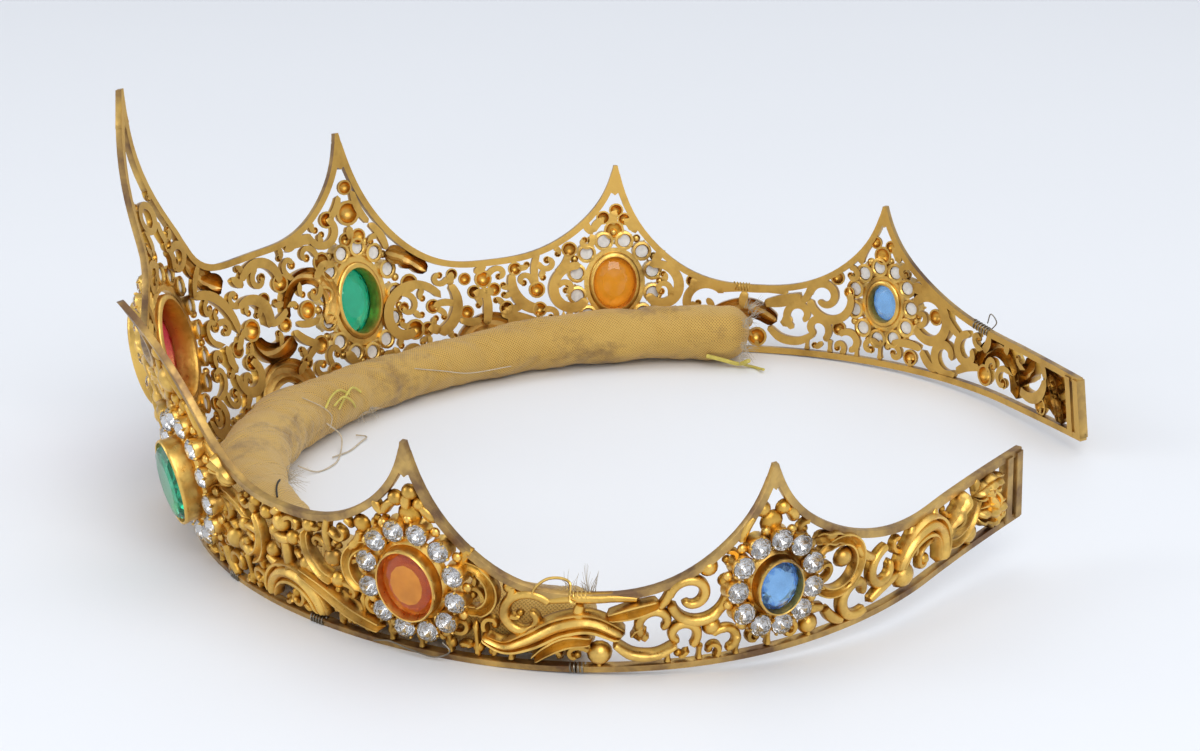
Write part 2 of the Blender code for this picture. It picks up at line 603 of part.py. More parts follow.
def halo(name, place, half, tall, count, finish):
    """Ring of rhinestones in their claws, fused into one body; neighbours share a side."""
    bm = bmesh.new()
    centres = []
    for i in range(count):
        angle = 2 * math.pi * (i + 0.5) / count
        centres.append(Vector((half * math.cos(angle), tall * math.sin(angle), 0.0)))
    sides = []
    for i, centre in enumerate(centres):
        following = centres[(i + 1) % count]
        across = (following - centre).normalized()
        outward = Vector((across.y, -across.x, 0.0))
        middle = (centre + following) / 2
        reach = HALO_STONE * math.tan(math.radians(22.5))
        sides.append((middle + outward * reach, middle - outward * reach))
    low = [[bm.verts.new((p.x, p.y, HALO_BACK)) for p in side] for side in sides]
    girdle = [[bm.verts.new((p.x, p.y, HALO_GIRDLE)) for p in side] for side in sides]
    for i, centre in enumerate(centres):
        before, after = i - 1, i
        axis = centre.normalized()
        span = Vector((-axis.y, axis.x, 0.0))
        reach = HALO_STONE * math.tan(math.radians(22.5))
        free = []
        for away in (1, -1):
            for turn in (1, -1):
                free.append(centre + axis * HALO_STONE * away - span * reach * away * turn)
        free_low = [bm.verts.new((p.x, p.y, HALO_BACK)) for p in free]
        free_girdle = [bm.verts.new((p.x, p.y, HALO_GIRDLE)) for p in free]
        bottom = [
            low[before][0], free_low[0], free_low[1], low[after][0],
            low[after][1], free_low[2], free_low[3], low[before][1],
        ]
        upper = [
            girdle[before][0], free_girdle[0], free_girdle[1], girdle[after][0],
            girdle[after][1], free_girdle[2], free_girdle[3], girdle[before][1],
        ]
        table = []
        for first, second in ((0, 1), (2, 3), (4, 5), (6, 7)):
            edge = (upper[first].co + upper[second].co) / 2
            p = centre.lerp(Vector((edge.x, edge.y, 0.0)), HALO_SHARE)
            table.append(bm.verts.new((p.x, p.y, HALO_TABLE)))
        for j in range(4):
            corner = table[j]
            following = table[(j + 1) % 4]
            bm.faces.new((upper[2 * j], upper[2 * j + 1], corner))
            bm.faces.new((upper[2 * j + 1], upper[(2 * j + 2) % 8], following, corner))
        for j in (0, 1, 2, 4, 5, 6):
            bm.faces.new((bottom[j], bottom[j + 1], upper[j + 1], upper[j]))
        bm.faces.new(bottom[::-1])
        bm.faces.new(table)
    bm.transform(place)
    add(name, bm, finish)


def jewels(gilt, paste):
    """Settings, stones and halos, one red in front and the others in pairs."""
    for name, s, h, half, tall, top, halo_half, halo_tall, count, colour in JEWELS:
        glass = material(name + "_glass", colour, 0.05, 0.0)
        arms = (("", 1),) if s == 0 else (("left_", 1), ("right_", -1))
        for prefix, side in arms:
            place = jewel_matrix(s * side, h)
            setting(prefix + name + "_setting", place, half, tall, top, gilt)
            stone(prefix + name + "_stone", place, half, tall, top, glass)
            halo(prefix + name + "_halo", place, halo_half, halo_tall, count, paste)


def padded_roll(cloth):
    """Cloth-covered roll that lies inside the base, from seam to seam."""
    rows = np.array(ROLL)
    count = round((ROLL[-1][0] - ROLL[0][0]) / ROLL_STEP)
    middle = np.linspace(ROLL[1][0], ROLL[-2][0], count - 1)
    places = [ROLL[0][0], *middle, ROLL[-1][0]]
    rings = []
    for s in places:
        thick = np.interp(s, rows[:, 0], rows[:, 1])
        beside = np.interp(min(max(s, places[1]), places[-2]), rows[:, 0], rows[:, 1])
        base, along, outward, upward = wall_frame(s)
        inward = Vector((-outward.x, -outward.y, 0.0)).normalized()
        centre = base + inward * (ROLL_CLEAR + beside / 2)
        centre.z = base.z + beside / 2 + ROLL_LIFT
        radius = thick / 2 * (ROLL_END_SHARE if s in (places[0], places[-1]) else 1.0)
        ring = []
        for j in range(ROLL_SIDES):
            angle = 2 * math.pi * (j + 0.5) / ROLL_SIDES
            ring.append((centre + (inward * math.cos(angle) + Vector((0, 0, math.sin(angle)))) * radius) * MM)
        rings.append(ring)
    bm = bmesh.new()
    loft(bm, rings)
    add("padded_roll", bm, cloth, 60)


def build():
    """The whole crown."""
    for item in list(bpy.data.objects):
        bpy.data.objects.remove(item, do_unlink=True)
    gilt = material("gilt_brass", (0.62, 0.41, 0.12), 0.35, 1.0)
    paste = material("clear_paste", (0.85, 0.85, 0.86), 0.08, 0.0)
    cloth = material("gold_cloth", (0.45, 0.32, 0.12), 0.75, 0.0)
    sheet = flat_sheet()
    tidy_sheet(sheet)
    front_section(sheet, gilt)
    wings(sheet, gilt)
    bpy.data.objects.remove(sheet)
    jewels(gilt, paste)
    padded_roll(cloth)


build()
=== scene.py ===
"""Statue crown of gilt cast scrollwork, with box-set stones, rhinestone rings and a padded roll.

The relief is cast flat, by distance round the rim (s) and height up the wall (h) in millimetres, and
then bent onto the flaring wall, as on the solids.
"""
import math

import bmesh
import bpy
import numpy as np
from mathutils import Matrix, Vector, noise


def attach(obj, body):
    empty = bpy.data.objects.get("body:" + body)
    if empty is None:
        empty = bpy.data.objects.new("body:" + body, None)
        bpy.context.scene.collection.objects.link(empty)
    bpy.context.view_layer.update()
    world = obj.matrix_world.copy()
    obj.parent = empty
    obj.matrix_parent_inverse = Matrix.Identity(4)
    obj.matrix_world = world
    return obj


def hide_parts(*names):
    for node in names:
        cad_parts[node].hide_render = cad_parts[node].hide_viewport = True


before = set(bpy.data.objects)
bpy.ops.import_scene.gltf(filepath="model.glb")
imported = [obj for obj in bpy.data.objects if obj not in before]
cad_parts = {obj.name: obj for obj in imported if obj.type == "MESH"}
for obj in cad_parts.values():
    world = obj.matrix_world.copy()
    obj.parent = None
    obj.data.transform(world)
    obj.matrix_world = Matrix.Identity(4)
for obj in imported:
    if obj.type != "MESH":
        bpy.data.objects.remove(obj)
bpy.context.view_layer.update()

MM = 0.001

# Wall of the crown, in millimetres and degrees: rim of one arm, seam of front and wing, front of the
# plan curve, middle of the crown's box, flare of the wall, and where the base rim begins to lift
ARM = 220.0
SEAM = 129.0
FRONT_Y = -55.0
CENTRE = (-0.3, 14.0)
FLARE = 12.5
LEVEL = 104.5
PLAN_STEP = 0.5
# Rims: width, depth, gap at the seam, how far the base rim and end bars reach behind the sheet
RIM_WIDTH = 1.24
RIM_DEPTH = 1.2
SEAM_GAP = 0.08
RIM_BACK, BAR_BACK = -0.2, -0.25
# End bars: rim distances, width, foot, rise, depth
END_BARS, BAR_WIDTH, BAR_FOOT, BAR_RISE, BAR_DEPTH = (216.4, 219.15), 1.7, 0.5, 11.3, 1.8

# Plan of the arms: rim distance, heading of the rim on the +X arm, heading on the -X arm
HEADINGS = (
    (0.0, 0.0, 0.0),
    (27.5, 20.4, 20.3),
    (55.0, 39.4, 39.2),
    (82.5, 57.4, 56.5),
    (110.0, 77.0, 74.0),
    (137.5, 101.8, 94.8),
    (165.0, 132.3, 120.4),
    (192.5, 155.0, 143.0),
    (220.0, 148.0, 146.0),
)
# Flare lost and height gained by the end of each arm: +X, -X
FLARE_LOSS = (13.4, 19.2)
END_LIFT = (8.2, 2.6)

# Peaks: rim distance, height, exponent of the sweep before and after the peak
PEAKS = (
    (0.0, 70.3, 4.6, 4.6),
    (51.2, 49.8, 3.1, 2.8),
    (104.8, 37.6, 2.6, 2.7),
    (158.0, 32.3, 2.5, 2.8),
)
# Share of a side peak's rise that is in its narrow spike, and how much sharper the spike is
SPIKE, SPIKE_POWER = 0.22, 6.5
# Belly of the front: depth, first and last height, half width
BELLY, BELLY_FOOT, BELLY_TOP, BELLY_HALF = 1.9, 6.0, 42.0, 34.0
# Wave and hip of the front spire, and the bent green peak: depth, foot, half width
SPIRE_WAVE, SPIRE_FOOT, SPIRE_HALF = 2.2, 38.0, 14.0
SPIRE_HIP, SPIRE_HIP_HEIGHT = 0.9, 61.0
BENT_TIP, BENT_FOOT, BENT_HALF = 5.2, 28.0, 14.0
# Low points of the top rim: rim distance, height; then half the width of a tip, and the rim's last height
LOWS = ((29.0, 32.0), (80.0, 20.6), (132.0, 13.7), (197.0, 12.9))
TIP_HALF = 0.4
END_HEIGHT = 12.3
# Steps down and across a tip's blade, and its greatest reach
BLADE_STEP, REACH_STEP, MOST_REACH = 0.35, 0.04, 8

# Scrolls: centre s and h, first and last radius, first and last angle, first and last width, end bulb
SCROLLS = (
    (0.0, 46.6, 2.4, 2.4, 100, -100, 1.3, 1.3, 0.0),
    (6.0, 37.0, 2.9, 1.5, 160, -160, 1.4, 1.2, 1.2),
    (9.6, 17.6, 11.0, 10.8, 92, 2, 1.6, 1.6, 0.0),
    (5.6, 7.2, 4.2, 2.0, 175, 430, 1.6, 1.6, 1.5),
    (20.4, 10.6, 4.4, 2.0, 165, 425, 1.7, 1.7, 1.7),
    (28.5, 24.6, 5.6, 4.3, 152, 0, 1.7, 1.5, 1.8),
    (24.3, 19.0, 4.6, 4.5, 125, -25, 1.4, 2.2, 0.0),
    (29.4, 17.6, 5.4, 5.6, 192, 322, 2.2, 3.0, 0.0),
    (39.1, 18.6, 6.2, 5.4, 195, -52, 1.4, 3.0, 0.0),
    (38.6, 22.6, 7.2, 7.2, 238, 292, 1.2, 1.2, 0.0),
    (45.3, 32.2, 3.7, 1.9, 185, 420, 1.3, 1.3, 1.6),
    (61.6, 11.4, 7.8, 2.4, 22, 290, 1.5, 2.0, 2.0),
    (66.5, 13.2, 5.8, 5.6, -80, 42, 2.2, 1.4, 0.0),
    (89.8, 15.6, 6.2, 6.0, 160, 262, 1.4, 2.2, 1.5),
    (96.2, 12.8, 5.2, 2.8, 72, 325, 1.6, 1.8, 0.0),
    (112.8, 12.6, 5.2, 2.2, 112, -155, 1.6, 1.8, 0.0),
    (121.6, 9.4, 4.6, 1.0, 30, 420, 1.6, 1.2, 0.0),
    (141.0, 8.2, 3.0, 1.2, 250, -60, 1.4, 1.2, 0.0),
    (146.0, 12.4, 3.2, 1.2, 185, -150, 1.5, 1.2, 0.0),
    (147.4, 12.2, 4.4, 4.2, 185, 385, 1.6, 1.4, 1.1),
    (144.8, 5.8, 2.7, 1.0, -60, 260, 1.4, 1.2, 0.0),
    (151.6, 3.6, 2.6, 1.2, 150, -90, 1.3, 1.2, 0.0),
    (170.2, 11.6, 4.6, 4.2, 152, -150, 1.8, 1.8, 0.0),
    (174.8, 5.2, 3.9, 1.2, -50, -385, 1.7, 1.4, 0.0),
    (180.8, 7.4, 3.6, 1.2, 80, 400, 1.6, 1.3, 0.0),
    (190.4, 4.2, 6.2, 6.4, 172, -22, 2.2, 2.8, 0.0),
    (201.4, 9.8, 6.2, 6.2, 236, 352, 1.8, 1.8, 0.0),
)
# Grooved arches that stand on the base rim: centre s, radius, width
ARCHES = ((29.2, 6.8, 3.4), (78.5, 6.4, 3.2))
ARCH_FOOT, ARCH_DEPTH, SWEEP_DEPTH = 1.6, 2.2, 2.3
# Balls of the relief: s, h, radius
BALLS = (
    (3.4, 40.4, 1.4), (18.5, 15.8, 1.7), (23.6, 18.0, 2.2), (28.3, 22.6, 1.4), (32.2, 16.7, 1.5),
    (35.9, 8.4, 1.4), (15.6, 4.0, 1.7), (38.3, 18.0, 2.0), (43.5, 26.2, 2.0), (51.1, 34.2, 2.5),
    (51.2, 39.2, 1.5), (49.8, 29.2, 1.5), (52.6, 29.4, 1.6), (40.1, 10.8, 1.9), (42.6, 5.0, 1.7),
    (62.2, 18.4, 1.9), (66.8, 13.0, 1.5), (65.2, 8.8, 1.5), (71.4, 18.7, 1.2), (74.0, 17.4, 1.3),
    (73.9, 10.7, 1.5), (77.8, 16.9, 1.8), (75.7, 14.6, 1.4), (79.9, 14.6, 1.4), (82.2, 10.6, 1.5),
    (84.4, 18.2, 1.4), (88.6, 13.6, 1.7), (95.4, 21.2, 1.6), (104.2, 24.6, 2.0), (102.2, 27.2, 1.4),
    (104.7, 28.6, 1.4), (106.2, 26.8, 1.3), (119.4, 14.2, 1.3), (132.5, 3.2, 2.0), (148.6, 16.6, 1.5),
    (149.4, 6.4, 1.5), (158.2, 22.4, 1.9), (156.6, 24.8, 1.3), (160.0, 24.4, 1.3), (165.8, 3.0, 1.7),
    (171.8, 12.4, 1.7), (169.0, 17.2, 1.5), (186.2, 4.0, 2.2), (205.6, 3.0, 1.9),
)
# Leaves and links: first s and h, last s and h, first and last width
LEAVES = (
    (2.9, 45.4, 3.4, 40.4, 1.3, 1.3), (3.0, 39.8, 4.0, 35.4, 1.3, 1.6),
    (8.4, 36.0, 18.8, 27.6, 2.2, 3.2), (9.8, 28.2, 12.6, 34.0, 1.3, 1.5),
    (16.0, 17.4, 16.8, 11.8, 2.0, 1.5), (20.4, 17.6, 23.0, 18.0, 1.4, 1.4),
    (21.5, 28.9, 24.4, 26.6, 1.4, 1.4), (35.5, 30.2, 42.6, 31.0, 1.6, 2.0),
    (28.6, 17.6, 33.4, 19.6, 1.3, 1.3), (28.4, 22.6, 28.4, 18.0, 1.2, 1.6),
    (52.6, 38.4, 55.3, 31.5, 1.3, 1.3), (55.3, 31.5, 58.4, 25.6, 1.3, 1.4),
    (51.2, 31.8, 51.2, 29.0, 1.4, 1.4), (58.0, 25.2, 66.4, 20.0, 3.0, 2.0),
    (34.0, 15.0, 40.0, 11.0, 1.6, 1.4), (49.6, 38.0, 47.0, 34.0, 1.2, 1.4),
    (72.2, 9.6, 77.0, 9.0, 1.4, 1.4), (77.8, 15.4, 77.8, 7.6, 1.4, 1.8),
    (76.0, 18.4, 78.4, 20.0, 1.4, 1.4), (88.6, 14.4, 89.2, 21.2, 1.3, 1.3),
    (92.4, 16.4, 95.2, 20.4, 1.4, 1.4), (112.0, 17.0, 114.2, 20.6, 1.6, 1.4),
    (118.0, 10.6, 119.8, 15.0, 1.4, 1.4), (100.0, 24.2, 102.4, 27.0, 1.4, 1.4),
    (108.4, 23.8, 106.4, 26.8, 1.4, 1.4), (124.4, 12.4, 138.6, 12.6, 1.4, 1.4),
    (130.0, 12.4, 130.0, 8.6, 1.6, 1.6), (137.6, 5.6, 139.6, 7.4, 2.0, 1.6),
    (141.0, 10.6, 143.0, 14.4, 1.3, 1.3), (160.2, 24.4, 162.0, 21.4, 1.3, 1.6),
    (155.4, 24.4, 153.4, 19.8, 1.3, 1.4), (161.0, 5.0, 168.4, 5.2, 1.4, 1.6),
    (168.4, 5.2, 172.6, 1.4, 1.6, 1.5), (165.4, 17.4, 172.6, 15.2, 2.2, 1.6),
    (174.0, 14.0, 178.6, 10.0, 1.5, 1.5), (177.6, 2.6, 184.6, 5.0, 1.6, 1.6),
    (185.4, 8.6, 187.6, 12.4, 1.6, 1.6), (193.4, 9.8, 194.6, 12.4, 1.6, 1.6),
    (196.6, 5.4, 203.6, 11.4, 1.8, 3.2), (206.4, 9.0, 214.6, 8.6, 2.6, 2.4),
    (206.8, 6.0, 215.6, 4.4, 3.0, 2.6), (209.0, 10.4, 212.6, 1.2, 2.4, 2.6),
    (207.6, 8.6, 206.0, 12.2, 1.6, 1.4), (52.2, 2.4, 46.0, 8.0, 1.4, 2.0),
    (57.4, 6.6, 60.4, 1.2, 1.6, 1.4), (16.0, 4.6, 18.4, 7.2, 1.4, 1.6),
    (18.5, 15.8, 20.6, 18.2, 1.4, 1.4), (71.1, 16.4, 71.6, 19.2, 1.3, 1.3),
    (68.0, 7.6, 65.2, 8.8, 1.8, 1.6), (36.0, 8.4, 40.1, 10.8, 1.3, 1.3),
    (36.0, 8.4, 33.2, 6.6, 1.3, 1.3), (43.5, 26.2, 41.4, 23.6, 1.4, 1.6),
    (43.5, 26.2, 46.8, 25.4, 1.3, 1.3), (66.8, 13.0, 72.0, 12.6, 1.2, 1.3),
    (75.6, 14.6, 80.0, 14.6, 1.6, 1.6), (82.2, 10.6, 82.8, 6.4, 1.3, 1.3),
    (82.2, 10.6, 85.6, 10.8, 1.3, 1.3), (100.2, 24.0, 98.6, 27.4, 1.3, 1.3),
    (104.6, 28.6, 104.3, 25.6, 1.4, 1.5), (106.2, 26.8, 107.8, 24.2, 1.3, 1.3),
)
# Posts that join the ornament to the base rim: s, height
POSTS = (
    (4.0, 3.4), (10.6, 5.2), (15.6, 3.0), (42.4, 4.0), (48.6, 5.6), (53.4, 5.6), (65.4, 8.0),
    (88.6, 9.0), (93.8, 9.0), (98.6, 5.6), (104.0, 4.4), (109.0, 5.6), (113.6, 8.0), (119.0, 6.0),
    (132.5, 2.4), (142.8, 4.2), (147.6, 4.0), (153.4, 3.0), (158.6, 5.4), (165.8, 2.6), (205.6, 2.6),
)
# Widths of a post from its foot to its top, where it starts, and the bead on it
POST_SHAPE = (1.7, 1.1, 0.8, 0.75, 0.85, 1.1, 1.6)
POST_FOOT, POST_BEAD, POST_BEAD_TOP = 0.9, 1.05, 2.9

# Jewels: name, s, h, setting half width and half height, setting top, halo half width and half
# height, rhinestones in the halo
JEWELS = (
    ("red", 0.0, 22.2, 7.8, 10.2, 6.4, 11.6, 13.8, 17),
    ("green", 51.2, 17.0, 5.5, 7.6, 5.6, 8.4, 10.4, 13),
    ("orange", 104.2, 13.9, 5.2, 6.3, 4.3, 7.9, 8.8, 12),
    ("blue", 158.6, 12.7, 4.0, 4.8, 4.2, 6.6, 7.3, 11),
)
# Half width of a rhinestone in its cup, and the clear margins round a ring and round a setting
HALO_STONE = 2.1
RING_MARGIN, SETTING_MARGIN = 1.5, 1.2
# How far the green stones stand out of their settings
GREEN_PROUD = 1.5

# Padded roll: rim distance (negative on the -X arm), thickness, how far it hangs in from the wall
ROLL = (
    (-132.0, 9.0, 0.4), (-128.0, 11.2, 0.4), (-100.0, 10.8, 1.2), (-75.0, 9.8, 3.4),
    (-50.0, 9.4, 5.6), (-30.0, 10.0, 5.8), (-10.0, 11.4, 4.6), (20.0, 12.4, 3.0),
    (60.0, 11.8, 1.4), (100.0, 11.0, 0.4), (128.0, 10.8, 0.4), (132.0, 8.4, 0.4),
)
# Gap to the wall's foot, shift inward, how much wider than tall, and how far in the thickness holds
ROLL_CLEAR = -0.6
ROLL_SHIFT, ROLL_WIDER, ROLL_FULL, ROLL_END = 0.7, 1.12, 128.0, 131.9
# Mesh of the roll, and repeats of its weave round and along it
ROLL_AROUND, ROLL_STEPS = 36, 300
WEAVE_AROUND, WEAVE_ALONG = 58.0, 430.0
# Share of the radius taken by broad dents, small dents, creases and the gathers at the ends
BROAD_DENT, SMALL_DENT, CREASE, GATHER = 0.10, 0.05, 0.07, 0.05
# Lengths from an end over which the roll closes and its gathers fade, and the share open at the end
CLOSES_OVER, FADES_OVER, END_OPEN = 5.0, 9.0, 0.12

# Loose threads on the roll: finish, radius, then points of rim distance, angle round the roll, lift
THREADS = (
    ("black", 0.17, ((46.5, 60, 0.1), (49.5, 70, 0.2), (53.0, 80, 0.2), (57.0, 90, 0.1))),
    ("yellow", 0.22, ((-13.0, 22, 0.0), (-16.0, 36, 0.9), (-20.0, 40, 1.2), (-24.5, 28, 0.3))),
    ("yellow", 0.22, ((-19.0, 8, 0.0), (-21.0, 26, 1.0), (-25.0, 36, 1.3), (-29.0, 24, 0.2))),
    ("yellow", 0.20, ((-26.0, -2, 0.1), (-23.0, 16, 1.0), (-19.0, 28, 1.6), (-16.0, 20, 0.5))),
    ("beige", 0.10, ((-49.0, 34, 0.1), (-57.0, 10, 0.2), (-65.0, -12, 0.2), (-76.0, -16, 0.3))),
    ("beige", 0.09, ((-8.0, 60, 0.1), (-11.0, 30, 0.3), (-14.0, 6, 0.4), (-13.0, -14, 0.6))),
    ("beige", 0.15, (
        (-12.5, -6, 0.0), (-16.0, -28, 2.2), (-9.0, -32, 4.8), (-2.0, -31, 5.4), (3.5, -36, 4.0), (5.0, -40, 1.0),
    )),
    ("beige", 0.15, ((-7.0, -34, 4.2), (-13.0, -33, 5.6), (-20.0, -33, 5.2), (-23.5, -30, 4.6), (-23.0, -36, 3.0))),
    ("yellow", 0.45, ((-123.0, -34, 0.2), (-127.0, -44, 0.5), (-130.5, -50, 0.9), (-133.0, -30, 1.4))),
    ("yellow", 0.30, ((-130.0, -52, 0.6), (-133.5, -60, 1.6), (-136.0, -40, 2.4))),
)
# Frayed tufts: rim distance, angle round the roll, length, number of fibres
TUFTS = (
    (26.0, -10, 3.4, 26), (28.0, 6, 2.2, 14), (-34.0, -30, 2.2, 14), (-31.0, -38, 1.6, 12),
    (130.5, 104, 4.2, 30), (127.0, 96, 3.0, 12), (-131.6, 150, 1.8, 16), (-131.8, 90, 2.2, 22),
    (-131.9, 40, 2.4, 24), (-131.9, -10, 2.2, 22), (-131.0, -40, 1.8, 16),
)
FIBRE_RADIUS = 0.06
# Lowest height in metres of a thread's point and of the roll, over the table
THREAD_LOW, ROLL_LOW = 0.0002, 0.0003
# Wires: finish, radius, then points of rim distance, height, depth
WIRES = (
    ("gold", 0.23, (
        (122.6, 13.2, 1.4), (123.4, 14.9, 1.0), (125.0, 15.9, 0.2), (127.0, 15.7, -0.4), (128.2, 14.6, -0.6),
        (128.4, 13.2, 1.8), (129.2, 12.6, 1.9),
    )),
    ("steel", 0.13, (
        (95.5, 1.0, 1.7), (99.0, 2.0, 2.2), (103.0, 1.6, 2.6), (107.0, 1.0, 2.4), (109.5, 2.2, 2.0),
        (108.2, 3.4, 1.6),
    )),
    ("steel", 0.12, ((-186.0, 12.8, 1.6), (-188.0, 14.8, 1.4), (-186.6, 16.2, 1.0), (-185.2, 14.0, 1.3))),
)
# Wire wound round a rim: finish, first and last rim distance, side, turns, on the top rim or not
BINDINGS = (
    ("gold", 128.2, 131.2, 1, 5, True), ("steel", 182.0, 187.0, -1, 6, True),
    ("steel", 81.5, 84.6, 1, 5, False), ("steel", 57.6, 60.6, 1, 5, False),
    ("gold", 127.6, 130.6, -1, 5, True), ("steel", 128.0, 130.4, 1, 4, False),
)
# Its radius, points in a turn, and how far its middle line stands off the rim's edge and face
BINDING_RADIUS, TURN_POINTS, OFF_EDGE, OFF_FACE = 0.16, 10, 0.18, 0.2

# Cross sections of cast strokes, from edge to edge and round the back: across, height
ROUND = (
    (1.0, 0.0), (1.0, 0.42), (0.82, 0.78), (0.45, 0.96), (0.0, 1.0),
    (-0.45, 0.96), (-0.82, 0.78), (-1.0, 0.42), (-1.0, 0.0), (-0.4, 0.0), (0.4, 0.0),
)
EDGED = (
    (1.0, 0.0), (1.0, 0.6), (0.86, 0.95), (0.62, 0.96), (0.34, 0.56), (0.0, 0.44),
    (-0.34, 0.56), (-0.62, 0.96), (-0.86, 0.95), (-1.0, 0.6), (-1.0, 0.0), (-0.4, 0.0), (0.4, 0.0),
)
RIBBED = (
    (1.0, 0.0), (1.0, 0.5), (0.84, 0.86), (0.64, 0.8), (0.5, 0.42), (0.3, 0.86), (0.0, 1.0),
    (-0.3, 0.86), (-0.5, 0.42), (-0.64, 0.8), (-0.84, 0.86), (-1.0, 0.5), (-1.0, 0.0),
    (-0.74, 0.5), (-0.5, 0.1), (-0.22, 0.6), (0.22, 0.6), (0.5, 0.1), (0.74, 0.5),
)
FLAT = ((1.0, 0.0), (1.0, 0.86), (0.86, 1.0), (-0.86, 1.0), (-1.0, 0.86), (-1.0, 0.0))
# Simple section of the small curls that fill the openings
SMALL = ((1.0, 0.0), (0.95, 0.55), (0.5, 0.95), (-0.5, 0.95), (-0.95, 0.55), (-1.0, 0.0), (0.0, 0.0))
# Widths from which a stroke is edged, ribbed or opens as a leaf
EDGED_FROM, RIBBED_FROM, LEAF_OPENS = 2.05, 2.9, 1.22

# Sweeping ridged leaves over the seam: points of s, h and width along each
SWEEPS = (
    (
        (114.6, 5.6, 1.6), (118.2, 4.2, 2.6), (122.0, 5.6, 3.6), (126.6, 8.2, 4.0), (131.4, 8.9, 3.8),
        (136.4, 6.4, 2.8),
    ),
    ((81.0, 9.8, 1.6), (86.0, 7.8, 2.3), (91.6, 5.0, 2.5), (97.4, 3.4, 1.9)),
    ((122.4, 2.2, 1.2), (124.8, 4.2, 2.0), (127.8, 5.8, 2.4), (131.6, 6.0, 1.6)),
    ((134.6, 5.4, 1.2), (137.4, 3.2, 1.7), (141.0, 2.9, 1.6), (144.2, 4.6, 1.2)),
    ((133.6, 10.0, 1.4), (137.4, 10.8, 2.4), (141.4, 12.0, 1.6)),
)
# Widest clear space left between the ornament: rim distance, clear radius
OPENINGS = (
    (0.0, 1.0), (30.0, 1.1), (56.0, 0.95), (60.0, 0.8), (96.0, 0.8), (108.0, 1.05), (128.0, 0.95),
    (142.0, 1.05), (160.0, 1.35), (196.0, 1.35), (216.0, 1.1),
)
# Small curls: share of the clear space, greatest radius, inner share; the radius from which one turns
# fully, and the degrees of a full and of a short one
CURL_SHARE, CURL_MOST, CURL_INNER = 0.78, 2.1, 0.4
FULL_FROM, FULL_TURN, SHORT_TURN = 1.1, 300, 150
# Depth kept clear of small curls under each tip, and the search for openings: first and last place,
# lowest height, step, most curls
TIP_OPEN = (20.0, 12.0, 9.4, 7.4)
FILL_FROM, FILL_TO, FILL_LOW, FILL_STEP, MOST_CURLS = 2.4, 214.6, 2.2, 0.45, 240

# Relief of a stroke: least, share of its width, most beside a jewel, and the share left at its ends
LEAST_RELIEF, RELIEF_SHARE, LOW_RELIEF, END_SHARE = 0.62, 0.6, 1.25, 0.35
# Ornament kept under the top rim: share of its half width, gap, lowest height
TUCK_SHARE, TUCK_GAP, TUCK_LOW = 0.75, 0.15, 0.4
# Faces that look this far back have the back's finish
FACING_BACK = -0.4
# Relief whose depth has the gilding's brightest painted light, and the angles from which edges are sharp
FULLY_LIT_RELIEF, CAST_SHARP, SET_SHARP = 2.2, 42, 38
# Share of the relief's height that the settings, cups and wires are taken to have, for the gilding's painted shade
# and light
SET_SHADING_RELIEF = 0.8
# Finishes of the cast pieces, in the order of their slots, and the metal laid so far: s, h, radius
FRONT, BACK, DIMPLE, RIM = range(4)
COVERED = []


def plan_table(column):
    """Plan points and headings of one arm, in small even steps of rim."""
    s = np.arange(0.0, ARM + 1.0, PLAN_STEP)
    rows = np.array(HEADINGS)
    heading = np.radians(np.interp(s, rows[:, 0], rows[:, column]))
    middle = (heading[1:] + heading[:-1]) / 2
    x = np.concatenate([[0.0], np.cumsum(np.cos(middle)) * PLAN_STEP])
    y = np.concatenate([[0.0], np.cumsum(np.sin(middle)) * PLAN_STEP]) + FRONT_Y
    return s, x, y, heading


PLANS = (plan_table(1), plan_table(2))


def wall(s, h, out):
    """Points of the wall in metres, for arrays of rim distance, height and depth in millimetres."""
    s, h, out = (np.atleast_1d(np.asarray(a, float)) for a in (s, h, out))
    far = s < 0
    run = np.abs(s)
    x, y, heading = (
        np.where(far, np.interp(run, PLANS[1][0], PLANS[1][k]), np.interp(run, PLANS[0][0], PLANS[0][k]))
        for k in (1, 2, 3)
    )
    side = np.where(far, -1.0, 1.0)
    lean = np.radians(FLARE - np.where(far, FLARE_LOSS[1], FLARE_LOSS[0]) * (run / ARM) ** 2)
    lift = np.where(far, END_LIFT[1], END_LIFT[0]) * (np.maximum(run - LEVEL, 0) / (ARM - LEVEL)) ** 2
    nx, ny = side * np.sin(heading), -np.cos(heading)
    depth = out + bent(s, h)
    reach = h * np.sin(lean) + depth * np.cos(lean)
    z = lift + h * np.cos(lean) - depth * np.sin(lean)
    z = np.maximum(z, lift)
    return np.stack([side * x - CENTRE[0] + nx * reach, y - CENTRE[1] + ny * reach, z], 1) * MM


def bent(s, h):
    """Outward bend of the sheet at the wavy front spire and at the green peak of the +X arm."""
    part = np.clip((h - SPIRE_FOOT) / (PEAKS[0][1] - SPIRE_FOOT), 0, 1)
    wave = SPIRE_WAVE * np.sin(math.pi * part) * np.clip(1 - (s / SPIRE_HALF) ** 2, 0, 1)
    part = np.clip((h - BELLY_FOOT) / (BELLY_TOP - BELLY_FOOT), 0, 1)
    wave = wave + BELLY * np.sin(math.pi * part) * np.clip(1 - (s / BELLY_HALF) ** 2, 0, 1)
    part = np.clip((h - BENT_FOOT) / (PEAKS[1][1] - BENT_FOOT), 0, 2)
    return wave + BENT_TIP * part ** 2 * np.clip(1 - ((s - PEAKS[1][0]) / BENT_HALF) ** 2, 0, 1)


